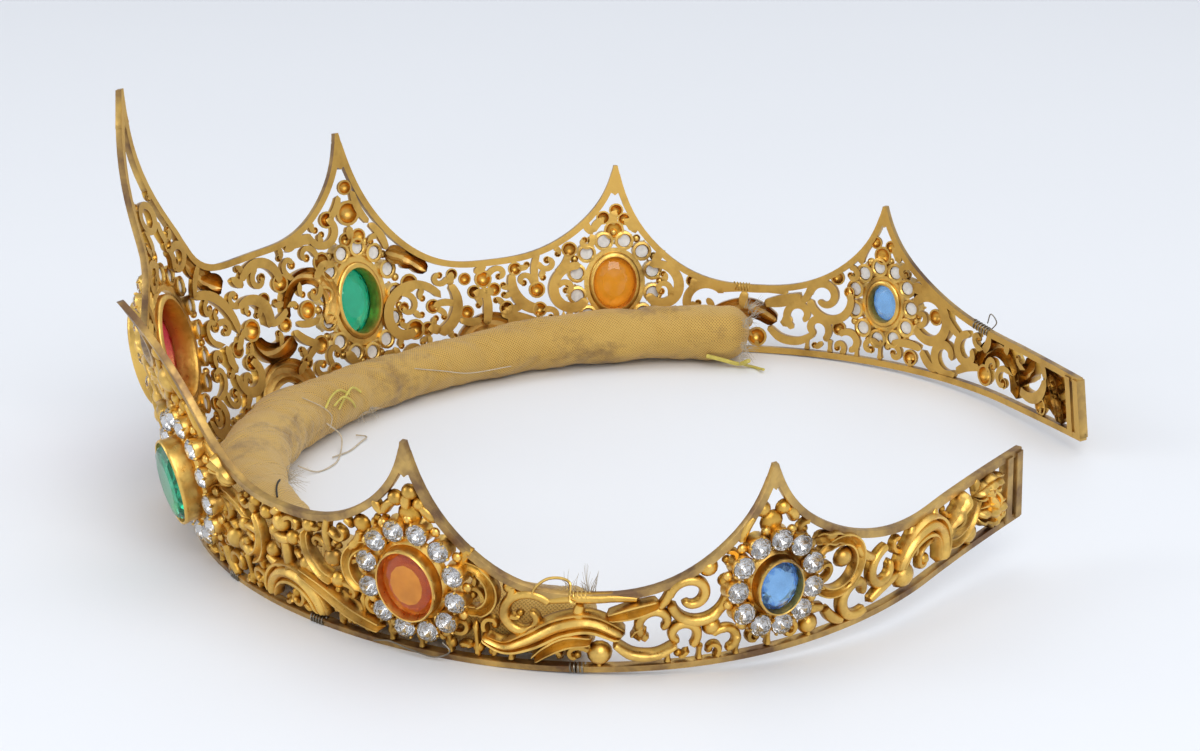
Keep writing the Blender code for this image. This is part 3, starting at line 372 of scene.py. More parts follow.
def top_edge(s):
    """Height of the top rim at distance s from the front centre."""
    for (tip, height, _, after), (low, low_height) in zip(PEAKS, LOWS):
        if s <= low:
            return sweep(s, tip, height, low, low_height, after)
        following = next((p for p in PEAKS if p[0] > low), None)
        if following and s <= following[0]:
            return sweep(s, following[0], following[1], low, low_height, following[2])
    return LOWS[-1][1] + (END_HEIGHT - LOWS[-1][1]) * (s - LOWS[-1][0]) / (ARM - LOWS[-1][0])


def sweep(s, tip, height, low, low_height, power):
    """Concave sweep of the rim from a low point up to a blunt tip."""
    reach = abs(tip - low) - TIP_HALF
    part = min(abs(s - low) / reach, 1.0)
    spike = SPIKE if tip else 0.0
    rise = (1 - spike) * part ** power + spike * part ** (power * SPIKE_POWER)
    return low_height + (height - low_height) * rise


def by_jewel(s, h, margin, ring=True):
    """True within a margin of a jewel's ring of rhinestones, or of its setting alone."""
    for _, js, jh, half, tall, _, ring_half, ring_tall, _ in JEWELS:
        wide, high = (ring_half, ring_tall) if ring else (half, tall)
        if ((s - js) / (wide + margin)) ** 2 + ((h - jh) / (high + margin)) ** 2 < 1:
            return True
    return False


def lay(sheet, piece):
    """Add a finished piece to a section."""
    made = bpy.data.meshes.new("cast")
    piece.to_mesh(made)
    piece.free()
    sheet.from_mesh(made)
    bpy.data.meshes.remove(made)


def tube_grid(around, along):
    """Grid to be wrapped to a tube, and its vertices with their place round and along it."""
    bm = bmesh.new()
    bmesh.ops.create_grid(bm, x_segments=around, y_segments=along, size=0.5)
    return bm, [
        (vert, round((vert.co.x + 0.5) * around) % around, round((vert.co.y + 0.5) * along)) for vert in bm.verts
    ]


def cap_ends(bm):
    """Close the open ends of a tube."""
    bmesh.ops.holes_fill(bm, edges=[e for e in bm.edges if e.is_boundary], sides=0)


def face_out(bm):
    """Turn a closed piece's faces outward."""
    bmesh.ops.recalc_face_normals(bm, faces=bm.faces)
    if bm.calc_volume(signed=True) < 0:
        bmesh.ops.reverse_faces(bm, faces=bm.faces)


def finished(name, bm, finishes):
    """Mesh of a finished piece with its materials."""
    mesh = bpy.data.meshes.new(name)
    bm.to_mesh(mesh)
    bm.free()
    for finish in finishes:
        mesh.materials.append(finish)
    return mesh


def with_shading_relief(mesh, heights):
    """Keep each vertex's share of the relief's height, from which the gilding paints shade low in the relief and
    light high on it.
    """
    relief = mesh.attributes.new("relief", 'FLOAT', 'POINT')
    relief.data.foreach_set("value", heights.astype(np.float32))


def section_of(s):
    """Section that carries the ornament at rim distance s."""
    return SECTIONS["front"] if s < SEAM else SECTIONS["wing"]


def tucked(s, h, half):
    """Height of a stroke or ball, kept under the outer edge of the top rim."""
    return max(min(h, top_edge(min(abs(s), ARM)) - TUCK_SHARE * half - TUCK_GAP), TUCK_LOW)


def stroke(path, section=ROUND, height=None, blunt=True, slot=FRONT, base=0.0, into=None):
    """Cast stroke: a grid wrapped round the section and led along a path of (s, h, width)."""
    rows = np.array(path, float)
    if slot == FRONT:
        rows[:, 1] = [tucked(s, h, width / 2) for s, h, width in rows]
    COVERED.extend((s, h, width / 2) for s, h, width in rows)
    points, widths = rows[:, :2], rows[:, 2]
    tangent = np.gradient(points, axis=0)
    tangent /= np.linalg.norm(tangent, axis=1)[:, None]
    across = np.stack([-tangent[:, 1], tangent[:, 0]], 1)
    run = np.concatenate([[0], np.cumsum(np.linalg.norm(np.diff(points, axis=0), axis=1))])
    scale = np.ones(len(rows))
    if blunt:
        near = np.minimum(run, run[-1] - run) / np.maximum(widths / 2, 1e-6)
        scale = np.sqrt(np.clip(1 - (1 - np.clip(near, 0, 1)) ** 2, 0, 1))
    tall = np.array([height if height else LEAST_RELIEF + RELIEF_SHARE * w for w in widths])
    if not height:
        low = np.array([by_jewel(s, h, HALO_STONE + w / 2) for (s, h), w in zip(points, widths)])
        tall = np.where(low, np.minimum(tall, LOW_RELIEF), tall)
    last = len(rows) - 1
    bm, places = tube_grid(len(section), last)
    for vert, i, j in places:
        side, up = section[i]
        place = points[j] + across[j] * side * widths[j] / 2 * scale[j]
        rise = base + up * tall[j] * (END_SHARE + (1 - END_SHARE) * scale[j]) * (1.0 if scale[j] > 0 else 0.6)
        vert.co = (place[0], place[1], rise)
    if blunt:
        for j in (0, last):
            ends = [v for v in bm.verts if (v.co.xy - Vector(points[j])).length < 1e-6]
            if ends:
                bmesh.ops.pointmerge(bm, verts=ends, merge_co=(points[j][0], points[j][1], base + tall[j] * 0.2))
    bmesh.ops.remove_doubles(bm, verts=bm.verts, dist=1e-4)
    if not blunt:
        cap_ends(bm)
    finish_cast(bm, slot)
    lay(into if into is not None else section_of(points[len(points) // 2][0]), bm)


def finish_cast(bm, slot):
    """Turn a flat piece's faces out, and give the ones that face the head the back's finish."""
    face_out(bm)
    bm.normal_update()
    for face in bm.faces:
        face.material_index = BACK if face.normal.z < FACING_BACK else slot
        face.smooth = True


def scroll_path(row, step=9.0):
    """Path of a scroll, a little fuller in its middle than at its ends."""
    cs, ch, first_r, last_r, first_a, last_a, first_w, last_w = row[:8]
    count = max(6, round(abs(last_a - first_a) / step))
    path = []
    for i in range(count + 1):
        part = i / count
        angle = math.radians(first_a + (last_a - first_a) * part)
        radius = first_r + (last_r - first_r) * part
        width = (first_w + (last_w - first_w) * part) * (0.92 + 0.3 * math.sin(math.pi * part))
        path.append((cs + radius * math.cos(angle), ch + radius * math.sin(angle), width))
    return path


def leaf_path(row, bow):
    """Path of a leaf between two points, bowed to one side, with scalloped edges when it is wide."""
    s0, h0, s1, h1, w0, w1 = row
    length = math.hypot(s1 - s0, h1 - h0)
    count = max(6, round(length / 0.55))
    path = []
    for i in range(count + 1):
        part = i / count
        side = bow * length * math.sin(math.pi * part)
        width = (w0 + (w1 - w0) * part) * (0.8 + 0.35 * math.sin(math.pi * part))
        if max(w0, w1) >= 2.0:
            width *= 0.86 + 0.26 * abs(math.sin(3 * math.pi * part))
        s = s0 + (s1 - s0) * part - (h1 - h0) / length * side
        h = h0 + (h1 - h0) * part + (s1 - s0) / length * side
        path.append((s, h, width))
    return path


def ball(s, h, radius, into=None, steps=14):
    """Hollow dome: a half round turned about its axis, open to the back."""
    h = tucked(s, h, radius)
    COVERED.append((s, h, radius))
    low = by_jewel(s, h, HALO_STONE + radius) and radius < 3
    tall = min(radius, 1.15) if low else radius * 1.05
    hollow, hollow_tall = radius * 0.78, tall * 0.72
    outline = [(0.0, tall)]
    outline += [(radius * math.sin(a), tall * math.cos(a)) for a in (0.35, 0.75, 1.15, 1.4)]
    outline += [(radius, 0.0), (hollow, -0.02)]
    outline += [(hollow * math.sin(a), hollow_tall * math.cos(a)) for a in (1.25, 0.85, 0.4)]
    outline += [(0.0, hollow_tall)]
    bm = turned(outline, steps)
    finish_cast(bm, FRONT)
    for face in bm.faces:
        if face.normal.z < 0.1 and face.calc_center_median().xy.length < hollow * 0.98:
            face.material_index = DIMPLE
    bmesh.ops.translate(bm, verts=bm.verts, vec=(s, h, 0.0))
    lay(into if into is not None else section_of(s), bm)


def rim_middle(s):
    """Point of the top rim's middle line, square to its edge at rim distance s, with the rim's width."""
    slope = (top_edge(s + 0.05) - top_edge(s - 0.05)) / 0.1
    size = math.hypot(1, slope)
    drop = RIM_WIDTH / 2
    return s + slope / size * drop, top_edge(s) - drop / size, RIM_WIDTH


def top_rim():
    """Top rim, in runs between the tips, joined at each tip by a solid blade."""
    tips = [p[0] for p in PEAKS]
    runs = [(tips[0], tips[1]), (tips[1], tips[2]), (tips[2], SEAM), (SEAM, tips[3]), (tips[3], ARM)]
    for first, last in runs:
        start = first + (TIP_HALF + 0.02 if first in tips else SEAM_GAP)
        stop = last - (TIP_HALF + 0.02 if last in tips else SEAM_GAP)
        count = max(24, round((stop - start) / 0.9))
        crowded = [0.5 - 0.5 * math.cos(math.pi * i / count) for i in range(count + 1)]
        path = [rim_middle(start + (stop - start) * part) for part in crowded]
        path = [p for p in path if kept_side(p, first, last, tips)]
        stroke(path, section=FLAT, height=RIM_DEPTH, blunt=False, slot=RIM, into=section_of(start + 1))


def kept_side(point, first, last, tips):
    """False where the rim's middle line has crossed a tip's centre line."""
    if first in tips and point[0] < first + 0.1:
        return False
    return not (last in tips and point[0] > last - 0.1)


def edge_reach(tip, h, side):
    """Distance from a tip's centre line to the rim's outer edge at height h, on one side."""
    reach = 0.0
    while top_edge(abs(tip + side * reach)) > h and reach < MOST_REACH:
        reach += REACH_STEP
    return reach


def tip_blades():
    """Solid blade at each tip, down to where the rims part."""
    for tip, height, _, _ in PEAKS:
        path = []
        h = height - 0.05
        while True:
            right = edge_reach(tip, h, 1)
            left = edge_reach(tip, h, -1) if tip else REACH_STEP
            if right > RIM_WIDTH * 1.25:
                break
            hip = 0.0 if tip else SPIRE_HIP * math.exp(-((h - SPIRE_HIP_HEIGHT) / 2.4) ** 2)
            path.append((tip + (right + hip - left) / 2, h, right + left + hip - 0.12 * (tip > 0)))
            h -= BLADE_STEP
        for part in (0.7, 0.35, 0.12):
            h -= BLADE_STEP
            path.append((path[-1][0], h, path[-1][2] * part))
        stroke(path, section=FLAT, height=RIM_DEPTH - 0.02, blunt=False, slot=RIM, base=0.02)


def base_rim():
    """Base rim of each section, standing on the surface."""
    for first, last in ((0.0, SEAM - SEAM_GAP), (SEAM + SEAM_GAP, ARM)):
        count = round((last - first) / 2.0)
        path = [(first + (last - first) * i / count, RIM_WIDTH / 2, RIM_WIDTH) for i in range(count + 1)]
        stroke(
            path, section=FLAT, height=RIM_DEPTH - RIM_BACK, blunt=False, slot=RIM, base=RIM_BACK,
            into=section_of(first + 1),
        )


def end_bars():
    """Double bar that closes the arm."""
    for s in END_BARS:
        path = [(s, BAR_FOOT + BAR_RISE * i / 12, BAR_WIDTH) for i in range(13)]
        stroke(path, section=FLAT, height=BAR_DEPTH, blunt=False, slot=RIM, base=BAR_BACK)


def ornament():
    """Everything cast between the rims of one arm."""
    for row in SCROLLS:
        path = scroll_path(row)
        stroke(leafy(path), section=section_for(path))
        if row[8]:
            ball(path[-1][0], path[-1][1], row[8] * 1.05)
    for centre, radius, width in ARCHES:
        path = scroll_path((centre, ARCH_FOOT, radius, radius, 178, 2, width, width * 1.2), step=7.0)
        stroke(path, section=RIBBED, height=ARCH_DEPTH)
    for points in SWEEPS:
        path = smoothed([np.array(point) for point in points], 9)
        stroke(path, section=section_for(path), height=SWEEP_DEPTH, into=SECTIONS["front"])
    for i, row in enumerate(LEAVES):
        length = math.hypot(row[2] - row[0], row[3] - row[1])
        bow = min(0.12, 0.6 / length) * (1 if i % 2 else -1)
        path = leaf_path(row, bow)
        stroke(leafy(path), section=section_for(path))
    for s, h, radius in BALLS:
        ball(s, h, radius)
    for s, h in POSTS:
        rise = (h - POST_FOOT) / (len(POST_SHAPE) - 1)
        stroke([(s, POST_FOOT + rise * i, width) for i, width in enumerate(POST_SHAPE)])
        if s < SEAM:
            ball(s, min(h, POST_BEAD_TOP), POST_BEAD, steps=10)


def section_for(path):
    """Section that suits a stroke's width: round, edged or ribbed."""
    widest = max(width for _, _, width in path)
    if widest >= RIBBED_FROM:
        return RIBBED
    return EDGED if widest >= EDGED_FROM else ROUND


def leafy(path):
    """The widest strokes open a little further, as leaves."""
    widest = max(width for _, _, width in path)
    return [(s, h, width * (LEAF_OPENS if widest >= RIBBED_FROM else 1.0)) for s, h, width in path]


def smoothed(rows, parts):
    """Smooth line through a few rows, each a point in space or an s, h and width."""
    rows = [2 * rows[0] - rows[1]] + rows + [2 * rows[-1] - rows[-2]]
    line = []
    for a, b, c, d in zip(rows, rows[1:], rows[2:], rows[3:]):
        square, cube = 2 * a - 5 * b + 4 * c - d, 3 * b - a - 3 * c + d
        for t in (i / parts for i in range(parts)):
            line.append(0.5 * (2 * b + (c - a) * t + square * t ** 2 + cube * t ** 3))
    return line + [rows[-2]]


def fill_openings():
    """Small curls and beads in the widest openings, each joined to the nearest metal."""
    spots = []
    for s in np.arange(FILL_FROM, FILL_TO, FILL_STEP):
        top = top_edge(s) - 1.5
        for (tip, height, _, _), opened in zip(PEAKS, TIP_OPEN):
            if abs(s - tip) < 9:
                top = min(top, height - opened)
        spots += [(s, h) for h in np.arange(FILL_LOW, top, FILL_STEP)]
    spots = np.array([
        spot for spot in spots
        if not by_jewel(*spot, SETTING_MARGIN, ring=False) and not by_jewel(*spot, RING_MARGIN)
    ])
    metal = list(COVERED)
    metal += [(s, RIM_WIDTH / 2, RIM_WIDTH / 2) for s in np.arange(0.0, ARM, 0.7)]
    clear = np.full(len(spots), 99.0)
    for s, h, radius in metal:
        clear = np.minimum(clear, np.hypot(spots[:, 0] - s, spots[:, 1] - h) - radius)
    allowed = np.interp(spots[:, 0], *np.array(OPENINGS).T)
    for turn in range(MOST_CURLS):
        best = int(np.argmax(clear - allowed))
        if clear[best] < allowed[best]:
            return
        s, h = spots[best]
        near = min(metal, key=lambda m: math.hypot(m[0] - s, m[1] - h) - m[2])
        before = len(COVERED)
        curl(s, h, clear[best], near, 1 if turn % 2 else -1)
        added = COVERED[before:] + [(s, h, 0.4 * clear[best])]
        metal += added
        for a, b, radius in added:
            clear = np.minimum(clear, np.hypot(spots[:, 0] - a, spots[:, 1] - b) - radius)


def curl(s, h, clear, near, hand):
    """Comma scroll that leaves the nearest metal and rolls in round its bulb."""
    toward = math.atan2(near[1] - h, near[0] - s)
    reach = math.hypot(near[0] - s, near[1] - h) - near[2] * 0.4
    outer = min(clear * CURL_SHARE, CURL_MOST)
    inner = outer * CURL_INNER
    turns = FULL_TURN if outer > FULL_FROM else SHORT_TURN
    count = max(8, round(turns / 21))
    path = []
    for i in range(count + 1):
        part = i / count
        angle = toward + hand * math.radians(turns) * part
        radius = inner + (outer - inner) * (1 - part) + (reach - outer) * math.exp(-7 * part)
        path.append((s + radius * math.cos(angle), h + radius * math.sin(angle), 1.25 - 0.3 * part))
    stroke(path, section=SMALL)
    end = path[-1]
    ball(end[0], end[1], max(0.7, min(1.15, outer * 0.55)), steps=9)


def bend(bm, name, finishes):
    """Bend a flat section onto the wall and make it a named piece."""
    mesh = finished(name, bm, finishes)
    flat = np.zeros(len(mesh.vertices) * 3)
    mesh.vertices.foreach_get("co", flat)
    flat = flat.reshape(-1, 3)
    # The relief's height drives the gilding's painted shade and light
    with_shading_relief(mesh, np.clip(flat[:, 2] / FULLY_LIT_RELIEF, 0, 1))
    mesh.vertices.foreach_set("co", wall(*flat.T).reshape(-1))
    mesh.update()
    mesh.set_sharp_from_angle(angle=math.radians(CAST_SHARP))
    return shown(name, mesh)


def shown(name, mesh):
    """Linked object of a finished mesh, riding on the crown."""
    made = bpy.data.objects.new(name, mesh)
    bpy.context.scene.collection.objects.link(made)
    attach(made, "root")
    return made


def mirrored(bm):
    """Mirror image of a flat section, for the -X arm."""
    copy = bm.copy()
    bmesh.ops.scale(copy, verts=copy.verts, vec=(-1, 1, 1))
    bmesh.ops.reverse_faces(copy, faces=copy.faces)
    return copy


# Materials

def new_material(name):
    """Principled material with its node tree, ready for links."""
    made = bpy.data.materials.new(name)
    made.use_nodes = True
    return made, made.node_tree, made.node_tree.nodes["Principled BSDF"]


def link(tree, source, target):
    """Join two sockets."""
    tree.links.new(source, target)


def object_noise(tree, scale, detail, rough, stretch=(1, 1, 1)):
    """Noise on Object coordinates, as a node."""
    place = tree.nodes.new("ShaderNodeTexCoord")
    turn = tree.nodes.new("ShaderNodeMapping")
    turn.inputs["Scale"].default_value = stretch
    made = tree.nodes.new("ShaderNodeTexNoise")
    made.inputs["Scale"].default_value = scale
    made.inputs["Detail"].default_value = detail
    made.inputs["Roughness"].default_value = rough
    link(tree, place.outputs["Object"], turn.inputs["Vector"])
    link(tree, turn.outputs["Vector"], made.inputs["Vector"])
    return made


def ramp(tree, source, stops):
    """Colour ramp with the given stops: place, colour."""
    made = tree.nodes.new("ShaderNodeValToRGB")
    while len(made.color_ramp.elements) < len(stops):
        made.color_ramp.elements.new(0.5)
    for element, (place, colour) in zip(made.color_ramp.elements, stops):
        element.position = place
        element.color = (*colour, 1.0)
    link(tree, source, made.inputs["Fac"])
    return made


def mixed(tree, factor, first, second):
    """Mix of two colours; each is a socket or a colour."""
    made = tree.nodes.new("ShaderNodeMix")
    made.data_type = 'RGBA'
    sockets = [made.inputs[0], made.inputs[6], made.inputs[7]]
    for socket, value in zip(sockets, (factor, first, second)):
        if isinstance(value, (int, float)):
            socket.default_value = value
        elif isinstance(value, tuple):
            socket.default_value = (*value, 1.0)
        else:
            link(tree, value, socket)
    return made.outputs[2]


def bump(tree, shader, source, strength, distance):
    """Bump of the shader's normal from a height."""
    made = tree.nodes.new("ShaderNodeBump")
    made.inputs["Strength"].default_value = strength
    made.inputs["Distance"].default_value = distance
    link(tree, source, made.inputs["Height"])
    link(tree, made.outputs["Normal"], shader.inputs["Normal"])


def gilt(name, shaded_low, body, lit_high, tarnish, rough, amount):
    """Gilding over cast brass: painted shade in a deeper colour low in the relief, painted light in the brightest
    colour high on it, with patches of brown tarnish.
    """
    made, tree, shader = new_material(name)
    relief = tree.nodes.new("ShaderNodeAttribute")
    relief.attribute_name = "relief"
    fine = object_noise(tree, 900.0, 5.0, 0.65)
    patch = object_noise(tree, 130.0, 4.0, 0.6)
    height = tree.nodes.new("ShaderNodeMath")
    height.operation = 'MULTIPLY_ADD'
    link(tree, fine.outputs["Fac"], height.inputs[0])
    height.inputs[1].default_value = 0.35
    link(tree, relief.outputs["Fac"], height.inputs[2])
    # Painted shade and light: darker where the relief is low, brighter where it stands high
    colour = ramp(tree, height.outputs["Value"], ((0.16, shaded_low), (0.52, body), (1.0, lit_high)))
    worn = ramp(tree, patch.outputs["Fac"], ((0.48 - amount, (0, 0, 0)), (0.78 - amount, (1, 1, 1))))
    whole = mixed(tree, worn.outputs["Color"], colour.outputs["Color"], tarnish)
    link(tree, whole, shader.inputs["Base Color"])
    dull = ramp(tree, fine.outputs["Fac"], ((0.3, (rough - 0.08,) * 3), (0.7, (rough + 0.14,) * 3)))
    link(tree, dull.outputs["Color"], shader.inputs["Roughness"])
    shader.inputs["Metallic"].default_value = 1.0
    bump(tree, shader, fine.outputs["Fac"], 0.25, 0.0002)
    return made


def glass(name, colour, through, rough=0.03):
    """Coloured glass of a cut stone, a little uneven in colour and scratched."""
    made, tree, shader = new_material(name)
    cloud = object_noise(tree, 320.0, 3.0, 0.5)
    dark = tuple(c * 0.8 for c in colour)
    tone = ramp(tree, cloud.outputs["Fac"], ((0.3, dark), (0.6, colour)))
    link(tree, tone.outputs["Color"], shader.inputs["Base Color"])
    marks = object_noise(tree, 1400.0, 2.0, 0.5)
    dull = ramp(tree, marks.outputs["Fac"], ((0.5, (rough,) * 3), (0.85, (rough + 0.06,) * 3)))
    link(tree, dull.outputs["Color"], shader.inputs["Roughness"])
    shader.inputs["Transmission Weight"].default_value = through
    shader.inputs["IOR"].default_value = 1.52
    return made


def lame_cloth(name):
    """Worn gold cloth: a fine diagonal weave, faded ridges and brown stains."""
    made, tree, shader = new_material(name)
    place = tree.nodes.new("ShaderNodeUVMap")
    place.uv_map = "cloth"
    heights = []
    for turn in (0.72, -0.86):
        mapping = tree.nodes.new("ShaderNodeMapping")
        mapping.inputs["Rotation"].default_value = (0, 0, turn)
        link(tree, place.outputs["UV"], mapping.inputs["Vector"])
        band = tree.nodes.new("ShaderNodeTexWave")
        band.inputs["Scale"].default_value = 0.42
        band.inputs["Distortion"].default_value = 0.6
        band.inputs["Detail"].default_value = 1.0
        link(tree, mapping.outputs["Vector"], band.inputs["Vector"])
        heights.append(band.outputs["Fac"])
    weave = tree.nodes.new("ShaderNodeMath")
    weave.operation = 'MAXIMUM'
    link(tree, heights[0], weave.inputs[0])
    link(tree, heights[1], weave.inputs[1])
    thread = ramp(tree, weave.outputs["Value"], ((0.3, (0.29, 0.155, 0.022)), (0.9, (0.64, 0.395, 0.085))))
    soft = object_noise(tree, 45.0, 5.0, 0.6)
    faded = ramp(tree, soft.outputs["Fac"], ((0.38, (0, 0, 0)), (0.7, (0.75, 0.75, 0.75))))
    pale = mixed(tree, faded.outputs["Color"], thread.outputs["Color"], (0.62, 0.40, 0.10))
    stain = object_noise(tree, 70.0, 6.0, 0.7, (1, 1, 1.6))
    brown = ramp(tree, stain.outputs["Fac"], ((0.53, (0, 0, 0)), (0.68, (0.75, 0.75, 0.75))))
    whole = mixed(tree, brown.outputs["Color"], pale, (0.19, 0.10, 0.035))
    link(tree, whole, shader.inputs["Base Color"])
    shader.inputs["Roughness"].default_value = 0.62
    shader.inputs["Metallic"].default_value = 0.25
    shader.inputs["Sheen Weight"].default_value = 0.2
    bump(tree, shader, weave.outputs["Value"], 0.5, 0.0002)
    return made


def plain(name, colour, roughness, metallic=0.0, scale=600.0, change=0.35):
    """Thread, wire and floor finish: one colour varied by a fine noise."""
    made, tree, shader = new_material(name)
    grain = object_noise(tree, scale, 3.0, 0.6)
    darker = tuple(c * (1 - change) for c in colour)
    tone = ramp(tree, grain.outputs["Fac"], ((0.3, darker), (0.7, colour)))
    link(tree, tone.outputs["Color"], shader.inputs["Base Color"])
    shader.inputs["Roughness"].default_value = roughness
    shader.inputs["Metallic"].default_value = metallic
    return made


# Gildings: painted shade colour low in the relief, colour half way, painted light colour high in the relief, tarnish,
# roughness, more tarnish
OUTER_GILT = gilt(
    "gilt_relief", (0.15, 0.052, 0.005), (0.58, 0.32, 0.052), (0.84, 0.545, 0.145), (0.24, 0.125, 0.035), 0.32, 0.02,
)
BACK_GILT = gilt("matt_back", (0.66, 0.42, 0.11), (0.78, 0.52, 0.16), (0.86, 0.6, 0.22), (0.42, 0.24, 0.06), 0.5, 0.0)
DIMPLE_GILT = gilt(
    "hollow_back", (0.52, 0.235, 0.028), (0.70, 0.385, 0.065), (0.82, 0.52, 0.13), (0.36, 0.17, 0.03), 0.34, 0.03,
)
RIM_GILT = gilt(
    "tarnished_rim", (0.56, 0.345, 0.09), (0.66, 0.43, 0.13), (0.74, 0.5, 0.18), (0.22, 0.13, 0.07), 0.4, 0.16,
)
FINISHES = (OUTER_GILT, BACK_GILT, DIMPLE_GILT, RIM_GILT)
FOIL_BACK = plain("foil_back", (0.84, 0.82, 0.78), 0.45, 0.0, 700.0, 0.3)
PASTE = glass("clear_paste_stone", (0.96, 0.96, 0.97), 1.0, 0.0)
FOIL = plain("rhinestone_foil", (0.86, 0.85, 0.84), 0.16, 1.0, 900.0, 0.3)
# Each stone's glass, and a paler copy of it as painted light on its table, and on the pavilion of the orange and blue
# stones
STONES = {
    "red": (glass("red_stone_glass", (0.66, 0.012, 0.08), 0.8), glass("red_table_painted_light", (0.86, 0.05, 0.15), 0.8)),
    "green": (glass("green_stone_glass", (0.01, 0.50, 0.25), 0.85), glass("green_table_painted_light", (0.05, 0.66, 0.36), 0.8)),
    "orange": (glass("orange_stone_glass", (0.92, 0.20, 0.01), 0.88), glass("orange_table_painted_light", (1.0, 0.42, 0.03), 0.55)),
    "blue": (glass("blue_stone_glass", (0.09, 0.30, 0.80), 0.88), glass("blue_table_painted_light", (0.26, 0.55, 0.95), 0.8)),
}
CLOTH = lame_cloth("worn_gold_cloth")
TRIM_FINISHES = {
    "black": plain("black_thread", (0.03, 0.025, 0.02), 0.7),
    "yellow": plain("yellow_thread", (0.72, 0.60, 0.12), 0.65),
    "beige": plain("beige_thread", (0.62, 0.52, 0.38), 0.7),
    "fray": plain("frayed_fibre", (0.56, 0.50, 0.40), 0.8),
    "gold": plain("gilt_wire_finish", (0.80, 0.52, 0.14), 0.3, 1.0),
    "steel": plain("dark_wire_finish", (0.30, 0.27, 0.22), 0.4, 1.0),
}


# Jewels

# Outlines of the collar round a setting (from its radius), of a rhinestone's cup and of its foiled back
COLLAR = ((-0.75, 0.5), (-0.75, 1.7), (-0.3, 2.1), (0.25, 1.6), (0.3, 0.5), (-0.75, 0.5))
CUP = (
    (1.95, 0.0), (1.8, 1.2), (1.95, 2.1), (1.86, 2.3), (1.6, 2.2), (1.5, 1.2), (1.3, 0.1), (1.5, -0.1), (1.95, 0.0),
)
FOIL_DISC = ((0.0, 0.85), (1.28, 0.75), (1.28, 0.5), (0.0, 0.55))
# Levels of a rhinestone, from its point to its table: radius, height, turn; foiled below its girdle
RHINESTONE = (
    (0.25, 1.1, 0.0), (1.1, 1.7, 0.5), (1.86, 2.25, 0.0), (1.9, 2.4, 0.0), (1.5, 2.85, 0.5), (1.05, 3.1, 0.0),
)
FOILED_BELOW = 2.26
# Collar and stone inside their ring and setting, lumps outside the ring, place of a claw on its cup
COLLAR_INSET, STONE_INSET, LUMP_OUT, CLAW_AT = 2.05, 0.47, 1.35, (1.86, 0, 2.35)
# Lump between two cups and claw on a cup: radius, stretch, fineness
LUMP, CLAW = (0.85, (1.0, 1.0, 0.8), 2), (0.4, (0.8, 0.7, 1.2), 1)
# Steps round the ovals, a cup and a foiled back, and sides of a main stone and of a rhinestone
OVAL_STEPS, CUP_STEPS, DISC_STEPS, STONE_SIDES, GEM_SIDES = 40, 14, 12, 12, 8


def jewel_matrix(s, h):
    """Placing of a jewel flat on the wall, with its own x along the rim and z outward."""
    origin, along, up = wall([s, s + 0.5, s], [h, h, h + 0.5], [0, 0, 0])
    along = Vector(along - origin).normalized()
    up = Vector(up - origin).normalized()
    outward = along.cross(up).normalized()
    up = outward.cross(along)
    turn = Matrix((along, up, outward)).transposed().to_4x4()
    return Matrix.Translation(Vector(origin)) @ turn @ Matrix.Scale(MM, 4)


def turned(outline, steps):
    """Ring, dome or cup turned from an outline of (radius, z); a closed one repeats its first point."""
    bm = bmesh.new()
    closed = outline[0] == outline[-1]
    verts = [bm.verts.new((r, 0.0, z)) for r, z in (outline[:-1] if closed else outline)]
    pairs = list(zip(verts, verts[1:]))
    if closed:
        pairs.append((verts[-1], verts[0]))
    edges = [bm.edges.new(pair) for pair in pairs]
    bmesh.ops.spin(
        bm, geom=verts + edges, cent=(0, 0, 0), axis=(0, 0, 1), dvec=(0, 0, 0),
        angle=2 * math.pi, steps=steps, use_merge=True, use_duplicate=False,
    )
    bmesh.ops.remove_doubles(bm, verts=bm.verts, dist=1e-4)
    face_out(bm)
    return bm


def cut_stone(levels, sides):
    """Faceted stone: a grid closed round its axis, each level turned half a facet from the last."""
    bm, places = tube_grid(sides, len(levels) - 1)
    for vert, i, j in places:
        radius, z, twist = levels[j]
        angle = 2 * math.pi * (i + twist) / sides
        vert.co = (radius * math.cos(angle), radius * math.sin(angle), z)
    bmesh.ops.remove_doubles(bm, verts=bm.verts, dist=1e-5)
    cap_ends(bm)
    bmesh.ops.triangulate(bm, faces=[f for f in bm.faces if len(f.verts) == 4])
    face_out(bm)
    return bm


def put(name, bm, place, finishes, smooth):
    """Named piece of a finished mesh, placed on the crown."""
    bm.transform(place)
    for face in bm.faces:
        face.smooth = smooth
    mesh = finished(name, bm, finishes)
    if smooth:
        mesh.set_sharp_from_angle(angle=math.radians(SET_SHARP))
    # Fixed share of the relief for the painted shade and light of the gilding
    with_shading_relief(mesh, np.full(len(mesh.vertices), SET_SHADING_RELIEF))
    return shown(name, mesh)


def paint(bm, index, where=lambda middle: True):
    """Give the faces whose middle passes a test the finish of that index."""
    for face in bm.faces:
        if where(face.calc_center_median()):
            face.material_index = index


def box_setting(name, place, half, tall, top):
    """Box setting with a rolled lip, a sloping seat for its stone and an open back."""
    seat = half - 0.5
    outline = [
        (half - 0.1, 0.1), (half, 0.4), (half - 0.14, top - 1.2), (half - 0.02, top - 0.6),
        (half - 0.05, top - 0.2), (half - 0.2, top), (half - 0.34, top - 0.1), (half - 0.4, top - 0.5),
        (seat, top - 0.9), (seat - 0.05, top - 2.2), (seat - 0.5, top - 2.5), (seat - 0.55, 0.5),
        (seat - 0.35, 0.1), (half - 0.8, -0.12), (half - 0.4, -0.12), (half - 0.1, 0.1),
    ]
    bm = turned(outline, OVAL_STEPS)
    paint(bm, 1, lambda middle: middle.xy.length < seat - 0.1)
    bmesh.ops.scale(bm, verts=bm.verts, vec=(1, tall / half, 1))
    return put(name, bm, place, (OUTER_GILT, DIMPLE_GILT), True)


